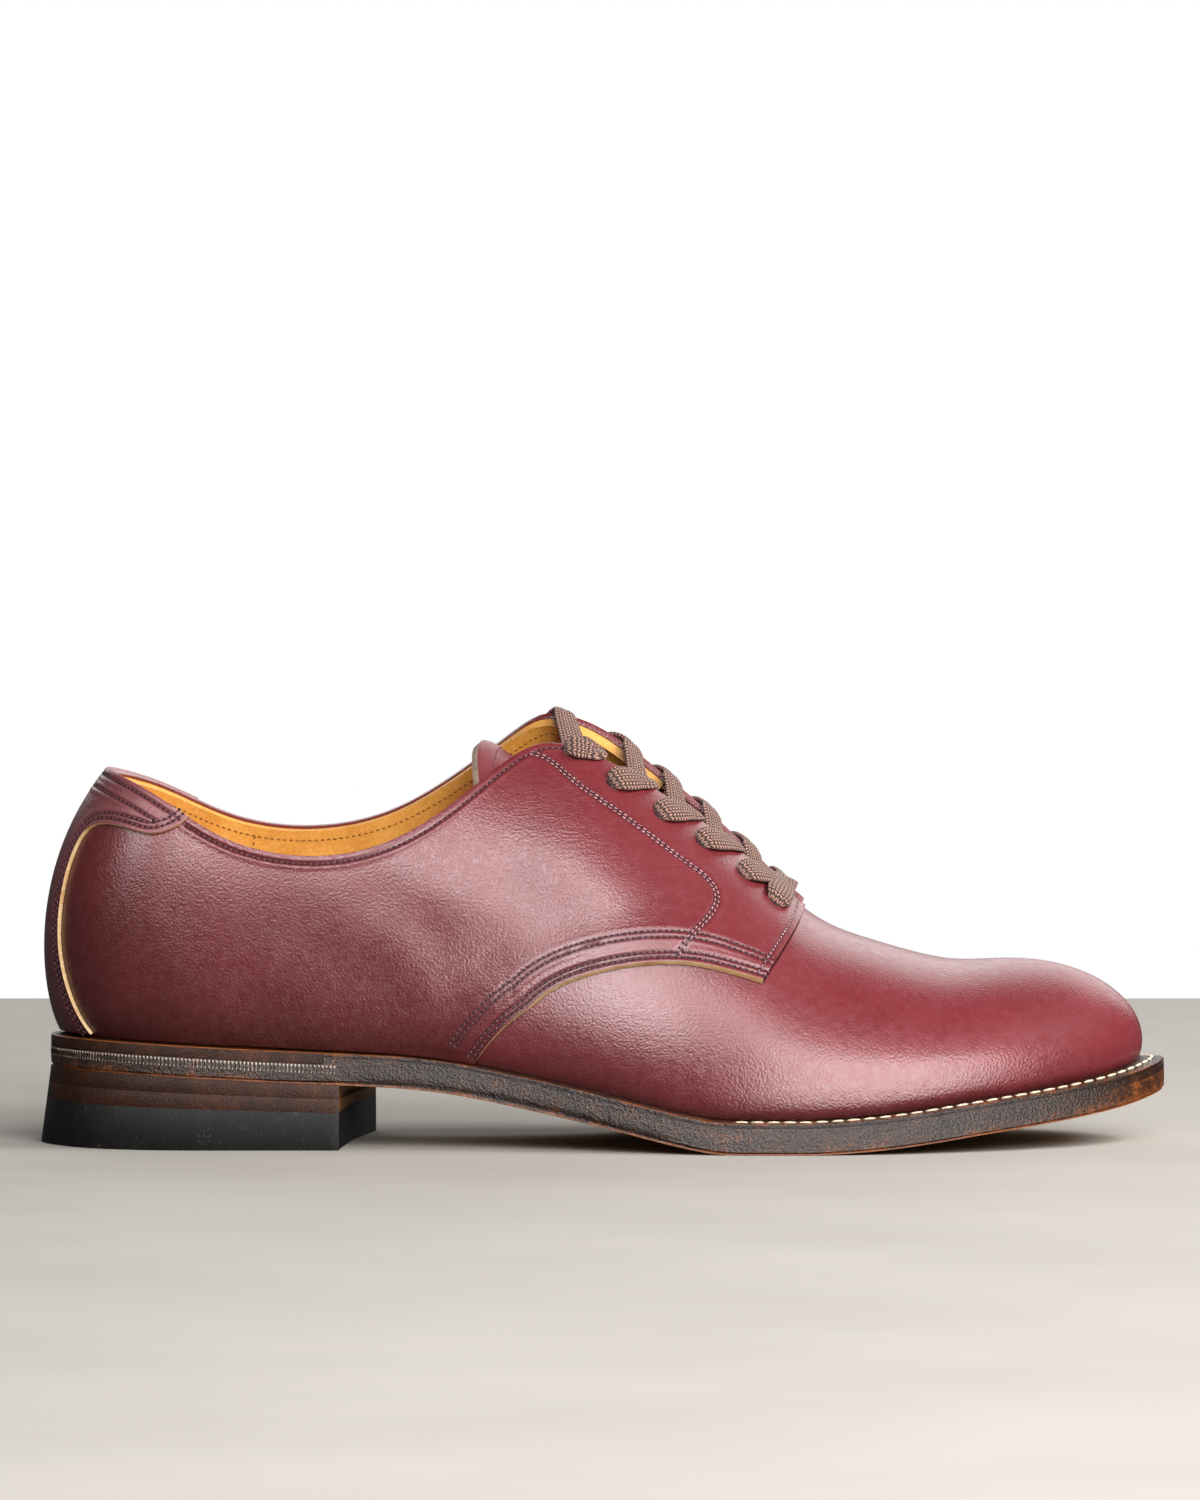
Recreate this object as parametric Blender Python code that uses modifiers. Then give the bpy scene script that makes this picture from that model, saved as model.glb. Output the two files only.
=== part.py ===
# A right-foot derby service shoe: leather upper on a shaped last, welted leather sole, stacked heel.
# X runs from heel to toe, -Y is the outer (lateral) side, +Z is up and the floor is at zero.
# Tables and sizes are in millimetres, and lofts turn them into metres.

import math
from collections import namedtuple

import bmesh
import bpy
import numpy as np

MM = 0.001

# Driving sizes
LENGTH = 300.0
BALL_WIDTH = 104.0
INSTEP_HEIGHT = 112.0
HEEL_HEIGHT = 20.4
TOE_SPRING = 13.8

# Thickness of each layer, and the clearance between neighbours
WALL = 2.2
QUARTER = 1.4
STRAP = 1.2
TONGUE = 2.0
OUTSOLE = 5.4
WELT = 3.0
INSOLE_RISE = 2.6
LACE_WIDTH = 7.0
LACE_THICKNESS = 1.3
GAP = 0.3
SKIN_GAP = 0.6

# The last: one row for each rib, from toe tip to heel back. A rib runs from the feather edge,
# where the upper meets the welt, up over the swell of the wall to the ridge.
# along, ridge: shares of LENGTH. lateral, medial: feather edge, shares of BALL_WIDTH.
# swell: how far the wall bulges past the feather edge, and widest: how high above it.
# edge: how far the sole stands out from the feather edge.
Rib = namedtuple("Rib", "along lateral medial ridge swell_lat swell_med widest edge_lat edge_med")
RIBS = (
    Rib(0.974, -0.036, 0.036, 0.864, 2.0, 2.0, 6.1, 7.8, 7.8),
    Rib(0.950, 0.130, 0.196, 0.855, 2.0, 2.0, 6.6, 7.7, 7.7),
    Rib(0.900, 0.252, 0.296, 0.830, 2.1, 2.1, 7.5, 7.5, 7.4),
    Rib(0.817, 0.361, 0.377, 0.775, 2.2, 2.2, 9.0, 7.4, 7.2),
    Rib(0.723, 0.424, 0.407, 0.709, 2.3, 2.3, 10.5, 7.4, 6.9),
    Rib(0.627, 0.435, 0.371, 0.632, 2.6, 2.8, 12.5, 7.3, 6.3),
    Rib(0.533, 0.392, 0.293, 0.552, 3.2, 4.0, 15.0, 6.3, 5.2),
    Rib(0.433, 0.321, 0.242, 0.468, 3.8, 5.0, 18.0, 5.3, 4.9),
    Rib(0.317, 0.281, 0.254, 0.374, 3.8, 4.6, 20.0, 5.3, 5.3),
    Rib(0.190, 0.275, 0.269, 0.282, 4.0, 4.2, 21.5, 5.6, 5.6),
    Rib(0.083, 0.232, 0.232, 0.218, 4.6, 4.6, 22.5, 5.8, 5.8),
    Rib(0.0297, 0.000, 0.000, 0.206, 5.0, 5.0, 22.7, 6.2, 6.2),
)
HEEL_BACK = len(RIBS) - 1
RING = 2 * HEEL_BACK

# The ridge of the last, from the heel cone to the toe: offset to the medial side, and height.
Ridge = namedtuple("Ridge", "along offset height")
RIDGE = (
    Ridge(0.206, 0.0, 1.054),
    Ridge(0.300, 5.0, 1.049),
    Ridge(0.400, 9.8, 1.026),
    Ridge(0.455, 12.0, 1.010),
    Ridge(0.490, 12.3, 0.976),
    Ridge(0.540, 11.8, 0.880),
    Ridge(0.590, 10.8, 0.768),
    Ridge(0.640, 9.2, 0.645),
    Ridge(0.680, 7.8, 0.551),
    Ridge(0.700, 7.2, 0.517),
    Ridge(0.735, 6.4, 0.481),
    Ridge(0.775, 5.6, 0.450),
    Ridge(0.810, 4.9, 0.432),
    Ridge(0.864, 4.0, 0.434),
)

# Underside of the outsole: heel pitch, arch, tread and toe spring.
Sole = namedtuple("Sole", "along height")
TREAD_BACK = 0.613
TREAD_FRONT = 0.683
SOLE_BACK = (
    Sole(0.000, HEEL_HEIGHT),
    Sole(0.150, 0.917 * HEEL_HEIGHT),
    Sole(0.270, 0.833 * HEEL_HEIGHT),
    Sole(0.355, 0.745 * HEEL_HEIGHT),
    Sole(0.410, 0.605 * HEEL_HEIGHT),
    Sole(0.460, 0.452 * HEEL_HEIGHT),
    Sole(0.517, 0.262 * HEEL_HEIGHT),
    Sole(0.567, 0.090 * HEEL_HEIGHT),
    Sole(TREAD_BACK, 0.0),
)
SOLE_FRONT = (
    Sole(TREAD_FRONT, 0.0),
    Sole(0.742, 0.080 * TOE_SPRING),
    Sole(0.827, 0.325 * TOE_SPRING),
    Sole(0.890, 0.515 * TOE_SPRING),
    Sole(0.937, 0.675 * TOE_SPRING),
    Sole(0.970, 0.820 * TOE_SPRING),
    Sole(1.000, TOE_SPRING),
)

# Top line: height above the floor on each side, by station along the shoe.
Collar = namedtuple("Collar", "along lateral medial")
COLLAR = (
    Collar(0.066, 98.0, 98.0),
    Collar(0.100, 93.6, 94.6),
    Collar(0.160, 82.6, 86.4),
    Collar(0.210, 77.7, 83.0),
    Collar(0.260, 76.9, 83.2),
    Collar(0.310, 80.2, 87.0),
    Collar(0.360, 88.4, 95.2),
    Collar(0.400, 97.6, 103.6),
    Collar(0.440, 106.3, 111.6),
    Collar(0.480, 114.0, 118.0),
)
FACING_BEGINS = 0.40
FACING_CORNER = 0.06

# Lace facings: where each edge lies across the shoe, from the top eyelet to the throat.
Facing = namedtuple("Facing", "along lateral medial")
FACING = (
    Facing(0.440, -11.5, 15.0),
    Facing(0.540, -9.3, 13.2),
    Facing(0.600, -7.3, 11.6),
    Facing(0.680, -4.0, 9.0),
)
THROAT = 0.677
VAMP_TAB = 0.033
THROAT_ROUND = 0.02

# Lower front edge of each quarter, where it is sewn over the vamp.
Edge = namedtuple("Edge", "along height")
QUARTER_FOOT = 0.388
QUARTER_EDGE = (
    Edge(0.405, 30.0),
    Edge(0.442, 39.6),
    Edge(0.493, 47.2),
    Edge(0.556, 49.8),
    Edge(0.598, 48.2),
    Edge(0.640, 44.4),
)

# Front edge of each quarter bows forward between its lower corner and the throat, in ribs.
FRONT_BOW = 0.07

# Edge of the back strap, from the heel seat to the wing: ribs from the back seam, share of the wall.
Strap = namedtuple("Strap", "ribs rise")
STRAP_EDGE = (
    Strap(0.70, 0.05),
    Strap(0.58, 0.20),
    Strap(0.50, 0.39),
    Strap(0.475, 0.55),
    Strap(0.475, 0.67),
    Strap(0.53, 0.775),
    Strap(0.74, 0.825),
    Strap(1.02, 0.843),
    Strap(1.22, 0.868),
    Strap(1.37, 0.930),
)
STRAP_TIP = 0.137

# Heel: how each layer shares the heel's height, and where its breast is cut.
TOP_PIECE_SHARE = 0.575
LOWER_LIFT_SHARE = 0.785
BREAST_LATERAL = 80.5
BREAST_MEDIAL = 88.5
BREAST_HOLLOW = 1.6
BREAST_SHARPNESS = 8
BACK_FLARE = 2.7
SIDE_FLARE = 1.2
FLARE_GROWTH = 6.0
RAND_END = 0.255

# Underside edge of the outsole: rounded more in the waist than at the tread.
WAIST = 0.42
WAIST_REACH = 0.20
BEVEL_WAIST = 1.4
BEVEL_TREAD = 0.5
BEVEL_INSET = 3.0

# Tongue: its ends along the ridge, its reach to each side of the ridge, and how far its top sinks.
TONGUE_TOP = 0.410
TONGUE_FOOT = 0.705
Reach = namedtuple("Reach", "lateral medial")
TONGUE_REACH_TOP = Reach(34.0, 17.0)
TONGUE_REACH_FOOT = Reach(20.0, 15.0)
TONGUE_SINK = 6.5
SINK_FROM = 0.49

# Lace: eyelet stations, and how far the first and last eyelets lie from the facing edge.
FIRST_EYELET = 0.658
EYELET_PITCH = 0.0367
EYELET_ROWS = 6
EYELET_INSET_FIRST = 13.0
EYELET_INSET_LAST = 8.0
LACE_SLANT = 3.2

# How a lace dips between the facings: share of the way across, and drop below the straight line.
Dip = namedtuple("Dip", "share drop")
LACE_DIP = (
    Dip(0.35, 0.1),
    Dip(0.62, 0.6),
    Dip(0.86, 1.6),
)

# How finely each form is cut into facets
RIB_STEPS = (4, 4, 4, 3, 4, 4, 7, 7, 5, 4, 4)
SOLE_STEPS = 4
WALL_ROWS = (0.0, 0.045, 0.10, 0.17, 0.25, 0.34, 0.44, 0.55, 0.66, 0.77, 0.88, 1.0)
QUARTER_ROWS = (0.0, 0.08, 0.17, 0.28, 0.40, 0.53, 0.67, 0.83, 1.0)
QUARTER_COLUMNS = 18
STRAP_ROWS = 20
STRAP_COLUMNS = 11
TONGUE_ROWS = 15
TONGUE_COLUMNS = 6
HEEL_SECTIONS = 14
BREAST_COLUMNS = 5
WELT_SECTIONS = 70
RAND_SECTIONS = 26
LACE_SECTIONS = 4
FINE = 400
HALVINGS = 26
NEWTON_ROUNDS = 30

# Form of the wall and of its overlays, in the wall's own measures: ribs round the shoe, share up a rib.
SEAM = 0.012
PARTING = 0.01
QUARTER_HEM = 0.02
FRONT_SHARPNESS = 4
LOWER = 0.22
START_ANGLE = math.radians(25.0)
CORE = (0.55 * LENGTH, 0.0, 0.4 * INSTEP_HEIGHT)

# The side of a skin that takes its thickness
OUTER = 1.0
INNER = -1.0


def cubic(xs, ys, ends="free"):
    """A smooth cubic through the points. Its ends are free, flat, or join in a loop."""
    xs, ys = np.asarray(xs, float), np.asarray(ys, float)
    count, step = len(xs), np.diff(xs)
    rise = np.diff(ys) / step
    rows, right = np.zeros((count, count)), np.zeros(count)
    for i in range(1, count - 1):
        rows[i, i - 1 : i + 2] = 1 / step[i - 1], 2 / step[i - 1] + 2 / step[i], 1 / step[i]
        right[i] = 3 * (rise[i - 1] / step[i - 1] + rise[i] / step[i])
    if ends == "loop":
        rows[0, [-2, 0, 1]] = 1 / step[-1], 2 / step[-1] + 2 / step[0], 1 / step[0]
        right[0] = 3 * (rise[-1] / step[-1] + rise[0] / step[0])
        rows[-1, [0, -1]] = 1, -1
    elif ends == "flat":
        rows[0, 0] = rows[-1, -1] = 1
    else:
        rows[0, :2], rows[-1, -2:] = (2, 1), (1, 2)
        right[0], right[-1] = 3 * rise[0], 3 * rise[-1]
    slopes = np.linalg.solve(rows, right)

    def value(x):
        x = np.asarray(x, float)
        if ends == "loop":
            x = np.mod(x - xs[0], xs[-1] - xs[0]) + xs[0]
        else:
            x = np.clip(x, xs[0], xs[-1])
        i = np.clip(np.searchsorted(xs, x, side="right") - 1, 0, count - 2)
        t = (x - xs[i]) / step[i]
        held = ys[i] * (1 + 2 * t) * (1 - t) ** 2 + ys[i + 1] * t**2 * (3 - 2 * t)
        return held + step[i] * (slopes[i] * t * (1 - t) ** 2 - slopes[i + 1] * t**2 * (1 - t))

    return value


def ring(lateral, medial, scale=1.0):
    """A column of the rib table round the whole shoe: down the lateral side, back up the medial."""
    values = [lateral(r) for r in RIBS] + [medial(r) for r in RIBS[-2::-1]]
    return cubic(range(RING + 1), np.array(values) * scale, "loop")


def by_station(table, column, scale=1.0, ends="free"):
    return cubic([r.along * LENGTH for r in table], [getattr(r, column) * scale for r in table], ends)


foot_x = ring(lambda r: r.along, lambda r: r.along, LENGTH)
foot_y = ring(lambda r: -r.lateral, lambda r: r.medial, BALL_WIDTH)
ridge_x = ring(lambda r: r.ridge, lambda r: r.ridge, LENGTH)
swell = ring(lambda r: r.swell_lat, lambda r: r.swell_med)
widest = ring(lambda r: r.widest, lambda r: r.widest)
sole_edge = ring(lambda r: r.edge_lat, lambda r: r.edge_med)
ridge_y = by_station(RIDGE, "offset", ends="flat")
ridge_z = by_station(RIDGE, "height", INSTEP_HEIGHT, "flat")
sole_back = by_station(SOLE_BACK, "height", ends="flat")
sole_front = by_station(SOLE_FRONT, "height")
collar_lateral = by_station(COLLAR, "lateral")
collar_medial = by_station(COLLAR, "medial")
facing_lateral = by_station(FACING, "lateral")
facing_medial = by_station(FACING, "medial")


def sole_bottom(x):
    """Height of the outsole's underside."""
    x = np.asarray(x, float)
    height = np.where(x < TREAD_BACK * LENGTH, sole_back(x), sole_front(x))
    return np.maximum(height, 0.0)


def outsole_top(x):
    return sole_bottom(x) + OUTSOLE


def welt_top(x):
    return outsole_top(x) + GAP + WELT


def feather_z(x):
    return welt_top(x) + GAP


def wall(p, turn):
    """A point of the upper's outer face: p counts ribs round the shoe, turn runs up a rib, 0 to 1."""
    p, turn = np.broadcast_arrays(np.asarray(p, float), np.asarray(turn, float))
    foot = np.stack([foot_x(p), foot_y(p)], -1)
    top_x = ridge_x(p)
    across = np.stack([top_x, ridge_y(top_x)], -1) - foot
    reach = np.linalg.norm(across, axis=-1)
    low = START_ANGLE + (math.pi / 2 - START_ANGLE) * np.clip(turn / LOWER, 0, 1)
    high = math.pi / 2 * np.clip((turn - LOWER) / (1 - LOWER), 0, 1)
    out = swell(p) * (np.sin(low) - math.sin(START_ANGLE)) / (1 - math.sin(START_ANGLE))
    inward = (reach + swell(p)) * (1 - np.cos(high)) - out
    xy = foot + across * (inward / reach)[..., None]
    widest_z = feather_z(foot[..., 0]) + widest(p)
    low_z = widest_z - widest(p) * np.cos(low) / math.cos(START_ANGLE)
    z = low_z + (ridge_z(xy[..., 0]) - widest_z) * np.sin(high)
    return np.concatenate([xy, z[..., None]], -1)


def skin(p, turn, lift):
    """A point lifted off the upper's outer face along its normal."""
    small = 1e-3
    p, turn = np.broadcast_arrays(np.asarray(p, float), np.asarray(turn, float))
    below, above = np.clip(turn - small, 0, 1), np.clip(turn + small, 0, 1)
    up = wall(p, above) - wall(p, below)
    along = wall(p + small, turn) - wall(p - small, turn)
    normal = np.cross(up, along)
    normal /= np.linalg.norm(normal, axis=-1, keepdims=True)
    return wall(p, turn) + normal * np.asarray(lift, float)[..., None]


def turn_where(p, passed):
    """The lowest turn on each rib where passed(points) becomes true, by halving."""
    p = np.asarray(p, float)
    low, high = np.full(p.shape, LOWER), np.ones(p.shape)
    for _ in range(HALVINGS):
        middle = (low + high) / 2
        beyond = passed(wall(p, middle))
        low, high = np.where(beyond, low, middle), np.where(beyond, middle, high)
    return high


def find_quarter_top(p):
    """Turn of the quarter's upper edge: the top line at the back, the lace facing in front."""
    medial = p > HEEL_BACK

    def over_collar(point):
        x = point[..., 0]
        return point[..., 2] > np.where(medial, collar_medial(x), collar_lateral(x))

    def over_facing(point):
        x, y = point[..., 0], point[..., 1]
        in_front = x > FACING_BEGINS * LENGTH
        return in_front & np.where(medial, y < facing_medial(x), y > facing_lateral(x))

    collar, facing = turn_where(p, over_collar), turn_where(p, over_facing)
    collar = np.where(foot_x(p) > COLLAR[-1].along * LENGTH, 1.0 + FACING_CORNER, collar)
    blend = np.clip(0.5 + 0.5 * (facing - collar) / FACING_CORNER, 0, 1)
    return facing + (collar - facing) * blend - FACING_CORNER * blend * (1 - blend)


every_rib = np.linspace(0, RING, 80 * RING + 1)
every_top = find_quarter_top(every_rib)
every_top_x = wall(every_rib, every_top)[:, 0]


def quarter_top(p):
    return np.interp(p, every_rib, every_top)


def upper_top(p):
    """Turn of the upper's upper edge. In front of the throat the two sides join along the ridge."""
    p = np.asarray(p, float)
    short = (THROAT - VAMP_TAB) * LENGTH - ridge_x(p)
    opened = np.sqrt(np.clip(short / (THROAT_ROUND * LENGTH), 0, 1))
    return 1 + (quarter_top(p) - 1) * opened


def locate(medial, x, z):
    """Rib count and turn of the point of the wall at station x and height z, by Newton's method."""
    order = np.arange(HEEL_BACK + 1.0)
    p = np.interp(-x, -foot_x(order), order)
    p, turn, small = (RING - p if medial else p), 0.5, 1e-4
    for _ in range(NEWTON_ROUNDS):
        here = wall(p, turn)[[0, 2]]
        by_p = (wall(p + small, turn)[[0, 2]] - here) / small
        by_turn = (wall(p, turn + small)[[0, 2]] - here) / small
        change = np.linalg.solve(np.stack([by_p, by_turn], -1), np.array([x, z]) - here)
        p += np.clip(change[0], -0.5, 0.5)
        turn = np.clip(turn + np.clip(change[1], -0.1, 0.1), 0.01, 0.99)
    return p, turn


def rib_at(medial, stations, x):
    """The rib of one side whose station is x. stations holds the station of every rib."""
    side = every_rib >= HEEL_BACK if medial else every_rib <= HEEL_BACK
    order = np.argsort(stations[side])
    return float(np.interp(x, stations[side][order], every_rib[side][order]))


def top_rib(medial, x):
    """The rib that crosses the quarter's upper edge at station x."""
    return rib_at(medial, every_top_x, x)


def outline(p, outset):
    """The feather edge in plan, moved out by outset along its own normal."""
    small = 1e-3
    p = np.asarray(p, float)
    along = np.stack([foot_x(p + small) - foot_x(p - small), foot_y(p + small) - foot_y(p - small)], -1)
    along /= np.linalg.norm(along, axis=-1, keepdims=True)
    normal = np.stack([along[..., 1], -along[..., 0]], -1)
    return np.stack([foot_x(p), foot_y(p)], -1) - normal * np.asarray(outset, float)[..., None]


def sole_outline(p):
    return outline(p, sole_edge(p))


def at_height(xy, height):
    """Plan points raised to a height that depends on their station."""
    return np.concatenate([xy, np.asarray(height(xy[..., 0]), float)[..., None]], -1)


def material(name, colour, roughness, metallic=0.0):
    made = bpy.data.materials.new(name)
    made.use_nodes = True
    shader = made.node_tree.nodes["Principled BSDF"]
    shader.inputs["Base Color"].default_value = (*colour, 1.0)
    shader.inputs["Roughness"].default_value = roughness
    shader.inputs["Metallic"].default_value = metallic
    return made


def new_object(name, mesh, finish, parent, collection):
    made = bpy.data.objects.new(name, mesh)
    made.data.materials.append(finish)
    made.parent = parent
    collection.objects.link(made)
    return made


def loft(name, rows, around=False, capped=False):
    """A mesh through rows of points. around closes each row into a ring, capped fills the two ends."""
    mesh = bpy.data.meshes.new(name)
    form = bmesh.new()
    grid = [[form.verts.new(np.asarray(point) * MM) for point in row] for row in rows]
    for first, second in zip(grid, grid[1:]):
        pairs = list(zip(first, second))
        for (a, b), (d, c) in zip(pairs, pairs[1:] + pairs[:1] if around else pairs[1:]):
            form.faces.new((a, b, c, d))
    if capped:
        form.faces.new(grid[0])
        form.faces.new(grid[-1][::-1])
    bmesh.ops.remove_doubles(form, verts=form.verts, dist=1e-7)
    bmesh.ops.dissolve_degenerate(form, edges=form.edges, dist=1e-7)
    if not capped:
        bmesh.ops.triangulate(form, faces=form.faces, quad_method="SHORT_EDGE")
    bmesh.ops.recalc_face_normals(form, faces=form.faces)
    form.to_mesh(mesh)
    form.free()
    return mesh


def thicken(made, thickness, side):
    """Gives an open skin its wall, on its outer or inner side."""
    modifier = made.modifiers.new("wall", "SOLIDIFY")
    modifier.thickness = thickness * MM
    modifier.offset = side
    modifier.use_even_offset = True
    modifier.use_rim = True
    return made


def faces_outwards(mesh):
    """Turns an open skin so that its faces look away from the last's axis."""
    core = np.array(CORE) * MM
    turned = [face.area * np.dot(face.normal, np.array(face.center) - core) for face in mesh.polygons]
    if sum(turned) < 0:
        mesh.flip_normals()
    return mesh


def make_upper(shoe):
    """Vamp and lining in one wall: open underneath, at the collar and down the throat."""
    side = np.concatenate([i + np.arange(steps) / steps for i, steps in enumerate(RIB_STEPS)])
    ribs = np.concatenate([side, RING - np.append(side[1:], HEEL_BACK)[::-1]])
    top = upper_top(ribs)
    rows = [wall(ribs, share * top) for share in WALL_ROWS]
    rows = [np.concatenate([row, row[:1]]) for row in rows]
    made = shoe("upper", faces_outwards(loft("upper", rows)), "vamp")
    return thicken(made, WALL, INNER)


def make_quarter(shoe, name, medial):
    """One quarter, from the back seam to its front edge on the vamp, with the lace facing."""
    back = HEEL_BACK + (SEAM if medial else -SEAM)
    foot_end = rib_at(medial, foot_x(every_rib), QUARTER_FOOT * LENGTH)
    bend_top = top_rib(medial, FACING[0].along * LENGTH)
    corner_top = top_rib(medial, THROAT * LENGTH)
    bound = [(foot_end, QUARTER_HEM)] + [locate(medial, e.along * LENGTH, e.height) for e in QUARTER_EDGE]
    order = np.linspace(0, 1, len(bound))
    edge_p, edge_turn = (cubic(order, column) for column in zip(*bound))
    rear, front = np.linspace(0, 1, QUARTER_COLUMNS), np.linspace(0, 1, QUARTER_COLUMNS)[1:]
    foot_p = np.concatenate([back + (foot_end - back) * rear, edge_p(front)])
    foot_turn = np.concatenate([np.full(rear.shape, QUARTER_HEM), edge_turn(front)])
    top_p = np.concatenate([back + (bend_top - back) * rear, bend_top + (corner_top - bend_top) * front])
    foot_share = foot_turn / quarter_top(foot_p)
    bow = FRONT_BOW if medial else -FRONT_BOW
    forward = np.concatenate([np.zeros(rear.shape), bow * front**FRONT_SHARPNESS])
    rows = []
    for v in QUARTER_ROWS:
        p = foot_p + (top_p - foot_p) * v + forward * 4 * v * (1 - v)
        turn = (foot_share + (1 - foot_share) * v) * quarter_top(p)
        rows.append(skin(p, turn, np.full(p.shape, SKIN_GAP)))
    made = shoe(name, faces_outwards(loft(name, rows)), "quarter")
    return thicken(made, QUARTER, OUTER)


def make_strap(shoe):
    """The strap over the back seam, with a wing under the top line on each side."""
    lift = 2 * SKIN_GAP + QUARTER
    order = np.linspace(0, 1, len(STRAP_EDGE) + 1)
    rise = np.linspace(0, 1, STRAP_ROWS)
    sides = []
    for medial, sign in ((False, -1), (True, 1)):
        tip = abs(top_rib(medial, STRAP_TIP * LENGTH) - HEEL_BACK)
        sides.append(cubic(order, [e.ribs for e in STRAP_EDGE] + [tip])(rise) * sign)
    edge_share = np.clip(cubic(order, [e.rise for e in STRAP_EDGE] + [1.0])(rise), 0, 1)
    across = np.linspace(-1, 1, STRAP_COLUMNS)
    grid = []
    for lateral, medial, share in zip(*sides, edge_share):
        p = HEEL_BACK + np.where(across < 0, -across * lateral, across * medial)
        grid.append(skin(p, share * quarter_top(p), np.full(p.shape, lift)))
    made = shoe("back_strap", faces_outwards(loft("back_strap", grid)), "quarter")
    return thicken(made, STRAP, OUTER)


def reach_down(p, reach, start=1.0):
    """Turn of the point that lies a given way down a rib, along the wall, from the ridge or from start."""
    turns = np.linspace(start, LOWER, FINE)
    way = np.linalg.norm(np.diff(wall(p, turns), axis=0), axis=1).cumsum()
    return float(np.interp(reach, way, turns[1:]))


def make_tongue(shoe):
    """The tongue, arched under the facings from beneath the vamp to above the top eyelets."""
    rows = []
    for s in np.linspace(0, 1, TONGUE_ROWS):
        x = (TONGUE_FOOT + (TONGUE_TOP - TONGUE_FOOT) * s) * LENGTH
        sunk = max(0.0, (SINK_FROM * LENGTH - x) / ((SINK_FROM - TONGUE_TOP) * LENGTH))
        drop = np.array([0.0, 0.0, TONGUE_SINK * sunk**2])
        row = []
        for side, medial in enumerate((False, True)):
            p = rib_at(medial, ridge_x(every_rib), x)
            reach = TONGUE_REACH_FOOT[side] + (TONGUE_REACH_TOP[side] - TONGUE_REACH_FOOT[side]) * s
            turns = np.linspace(reach_down(p, reach), 1.0, TONGUE_COLUMNS)
            row.append(skin(p, turns, np.full(turns.shape, -WALL - SKIN_GAP)) - drop)
        rows.append(np.concatenate([row[0], row[1][-2::-1]]))
    made = shoe("tongue", faces_outwards(loft("tongue", rows)), "tongue")
    return thicken(made, TONGUE, INNER)


def plate(shoe, name, sections, finish):
    """A solid through ring sections whose first and last may shrink to a line."""
    return shoe(name, loft(name, sections, around=True, capped=True), finish)


def make_outsole(shoe):
    """Full outsole: level across, with heel pitch, arch and toe spring, and a rounded lower edge."""
    sections = []
    for p in np.linspace(0, HEEL_BACK, HEEL_BACK * SOLE_STEPS + 1):
        both = sole_outline(np.array([p, RING - p]))
        inner = outline(np.array([p, RING - p]), sole_edge(p) - BEVEL_INSET)
        waist = np.clip(1 - np.abs(both[:, 0] / LENGTH - WAIST) / WAIST_REACH, 0, 1)
        bevel = BEVEL_TREAD + (BEVEL_WAIST - BEVEL_TREAD) * waist
        top = at_height(both, outsole_top)
        low = at_height(both, lambda x: sole_bottom(x) + bevel)
        under = at_height(inner, sole_bottom)
        sections.append([top[0], low[0], under[0], under[1], low[1], top[1]])
    return plate(shoe, "outsole", sections, "sole")


def make_strip(shoe, name, ribs, finish):
    """A strip of welt along part of the sole's edge, lapping under the upper's feather edge."""
    inset = WALL + SKIN_GAP + GAP
    outer, inner = sole_outline(ribs), outline(ribs, np.full(ribs.shape, -inset))
    rows = zip(
        at_height(outer, welt_top),
        at_height(outer, lambda x: outsole_top(x) + GAP),
        at_height(inner, lambda x: outsole_top(x) + GAP),
        at_height(inner, welt_top),
    )
    return plate(shoe, name, [list(row) for row in rows], finish)


def make_insole(shoe):
    """The footbed: fills the welt's ring from the outsole up, to a little above the feather edge."""
    inset = WALL + SKIN_GAP + 2 * GAP
    sections = []
    for p in np.linspace(0, HEEL_BACK, HEEL_BACK * SOLE_STEPS // 2 + 1):
        both = outline(np.array([p, RING - p]), np.full(2, -inset))
        top = at_height(both, lambda x: welt_top(x) + INSOLE_RISE)
        low = at_height(both, lambda x: outsole_top(x) + GAP)
        sections.append([top[0], low[0], low[1], top[1]])
    return plate(shoe, "insole", sections, "insole")


def make_heel_layer(shoe, name, low_share, high_share, finish):
    """One layer of the heel: a slice of the stack under the outsole, cut square at the breast."""
    edge = sole_outline(every_rib)
    back = float(edge[:, 0].min())
    lateral, medial = edge[every_rib <= HEEL_BACK][::-1], edge[every_rib >= HEEL_BACK]
    across = np.linspace(0, 1, BREAST_COLUMNS)

    def level(share, reach, clear):
        flare = 1 - share
        lateral_x = back + (BREAST_LATERAL - back) * reach
        medial_x = back + (BREAST_MEDIAL - back) * reach
        side_flare = SIDE_FLARE * flare * min(1, FLARE_GROWTH * reach)
        lateral_y = np.interp(lateral_x, *lateral.T) - side_flare
        medial_y = np.interp(medial_x, *medial.T) + side_flare
        hollow = BREAST_HOLLOW * reach**BREAST_SHARPNESS * 4 * across * (1 - across)
        x = lateral_x + (medial_x - lateral_x) * across - hollow - BACK_FLARE * flare * (1 - reach)
        y = lateral_y + (medial_y - lateral_y) * across
        return np.stack([x, y, sole_bottom(x) * share - clear], -1)

    sections = []
    for reach in np.linspace(0, 1, HEEL_SECTIONS) ** 2:
        sections.append([*level(high_share, reach, GAP), *level(low_share, reach, 0)[::-1]])
    return plate(shoe, name, sections, finish)


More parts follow.
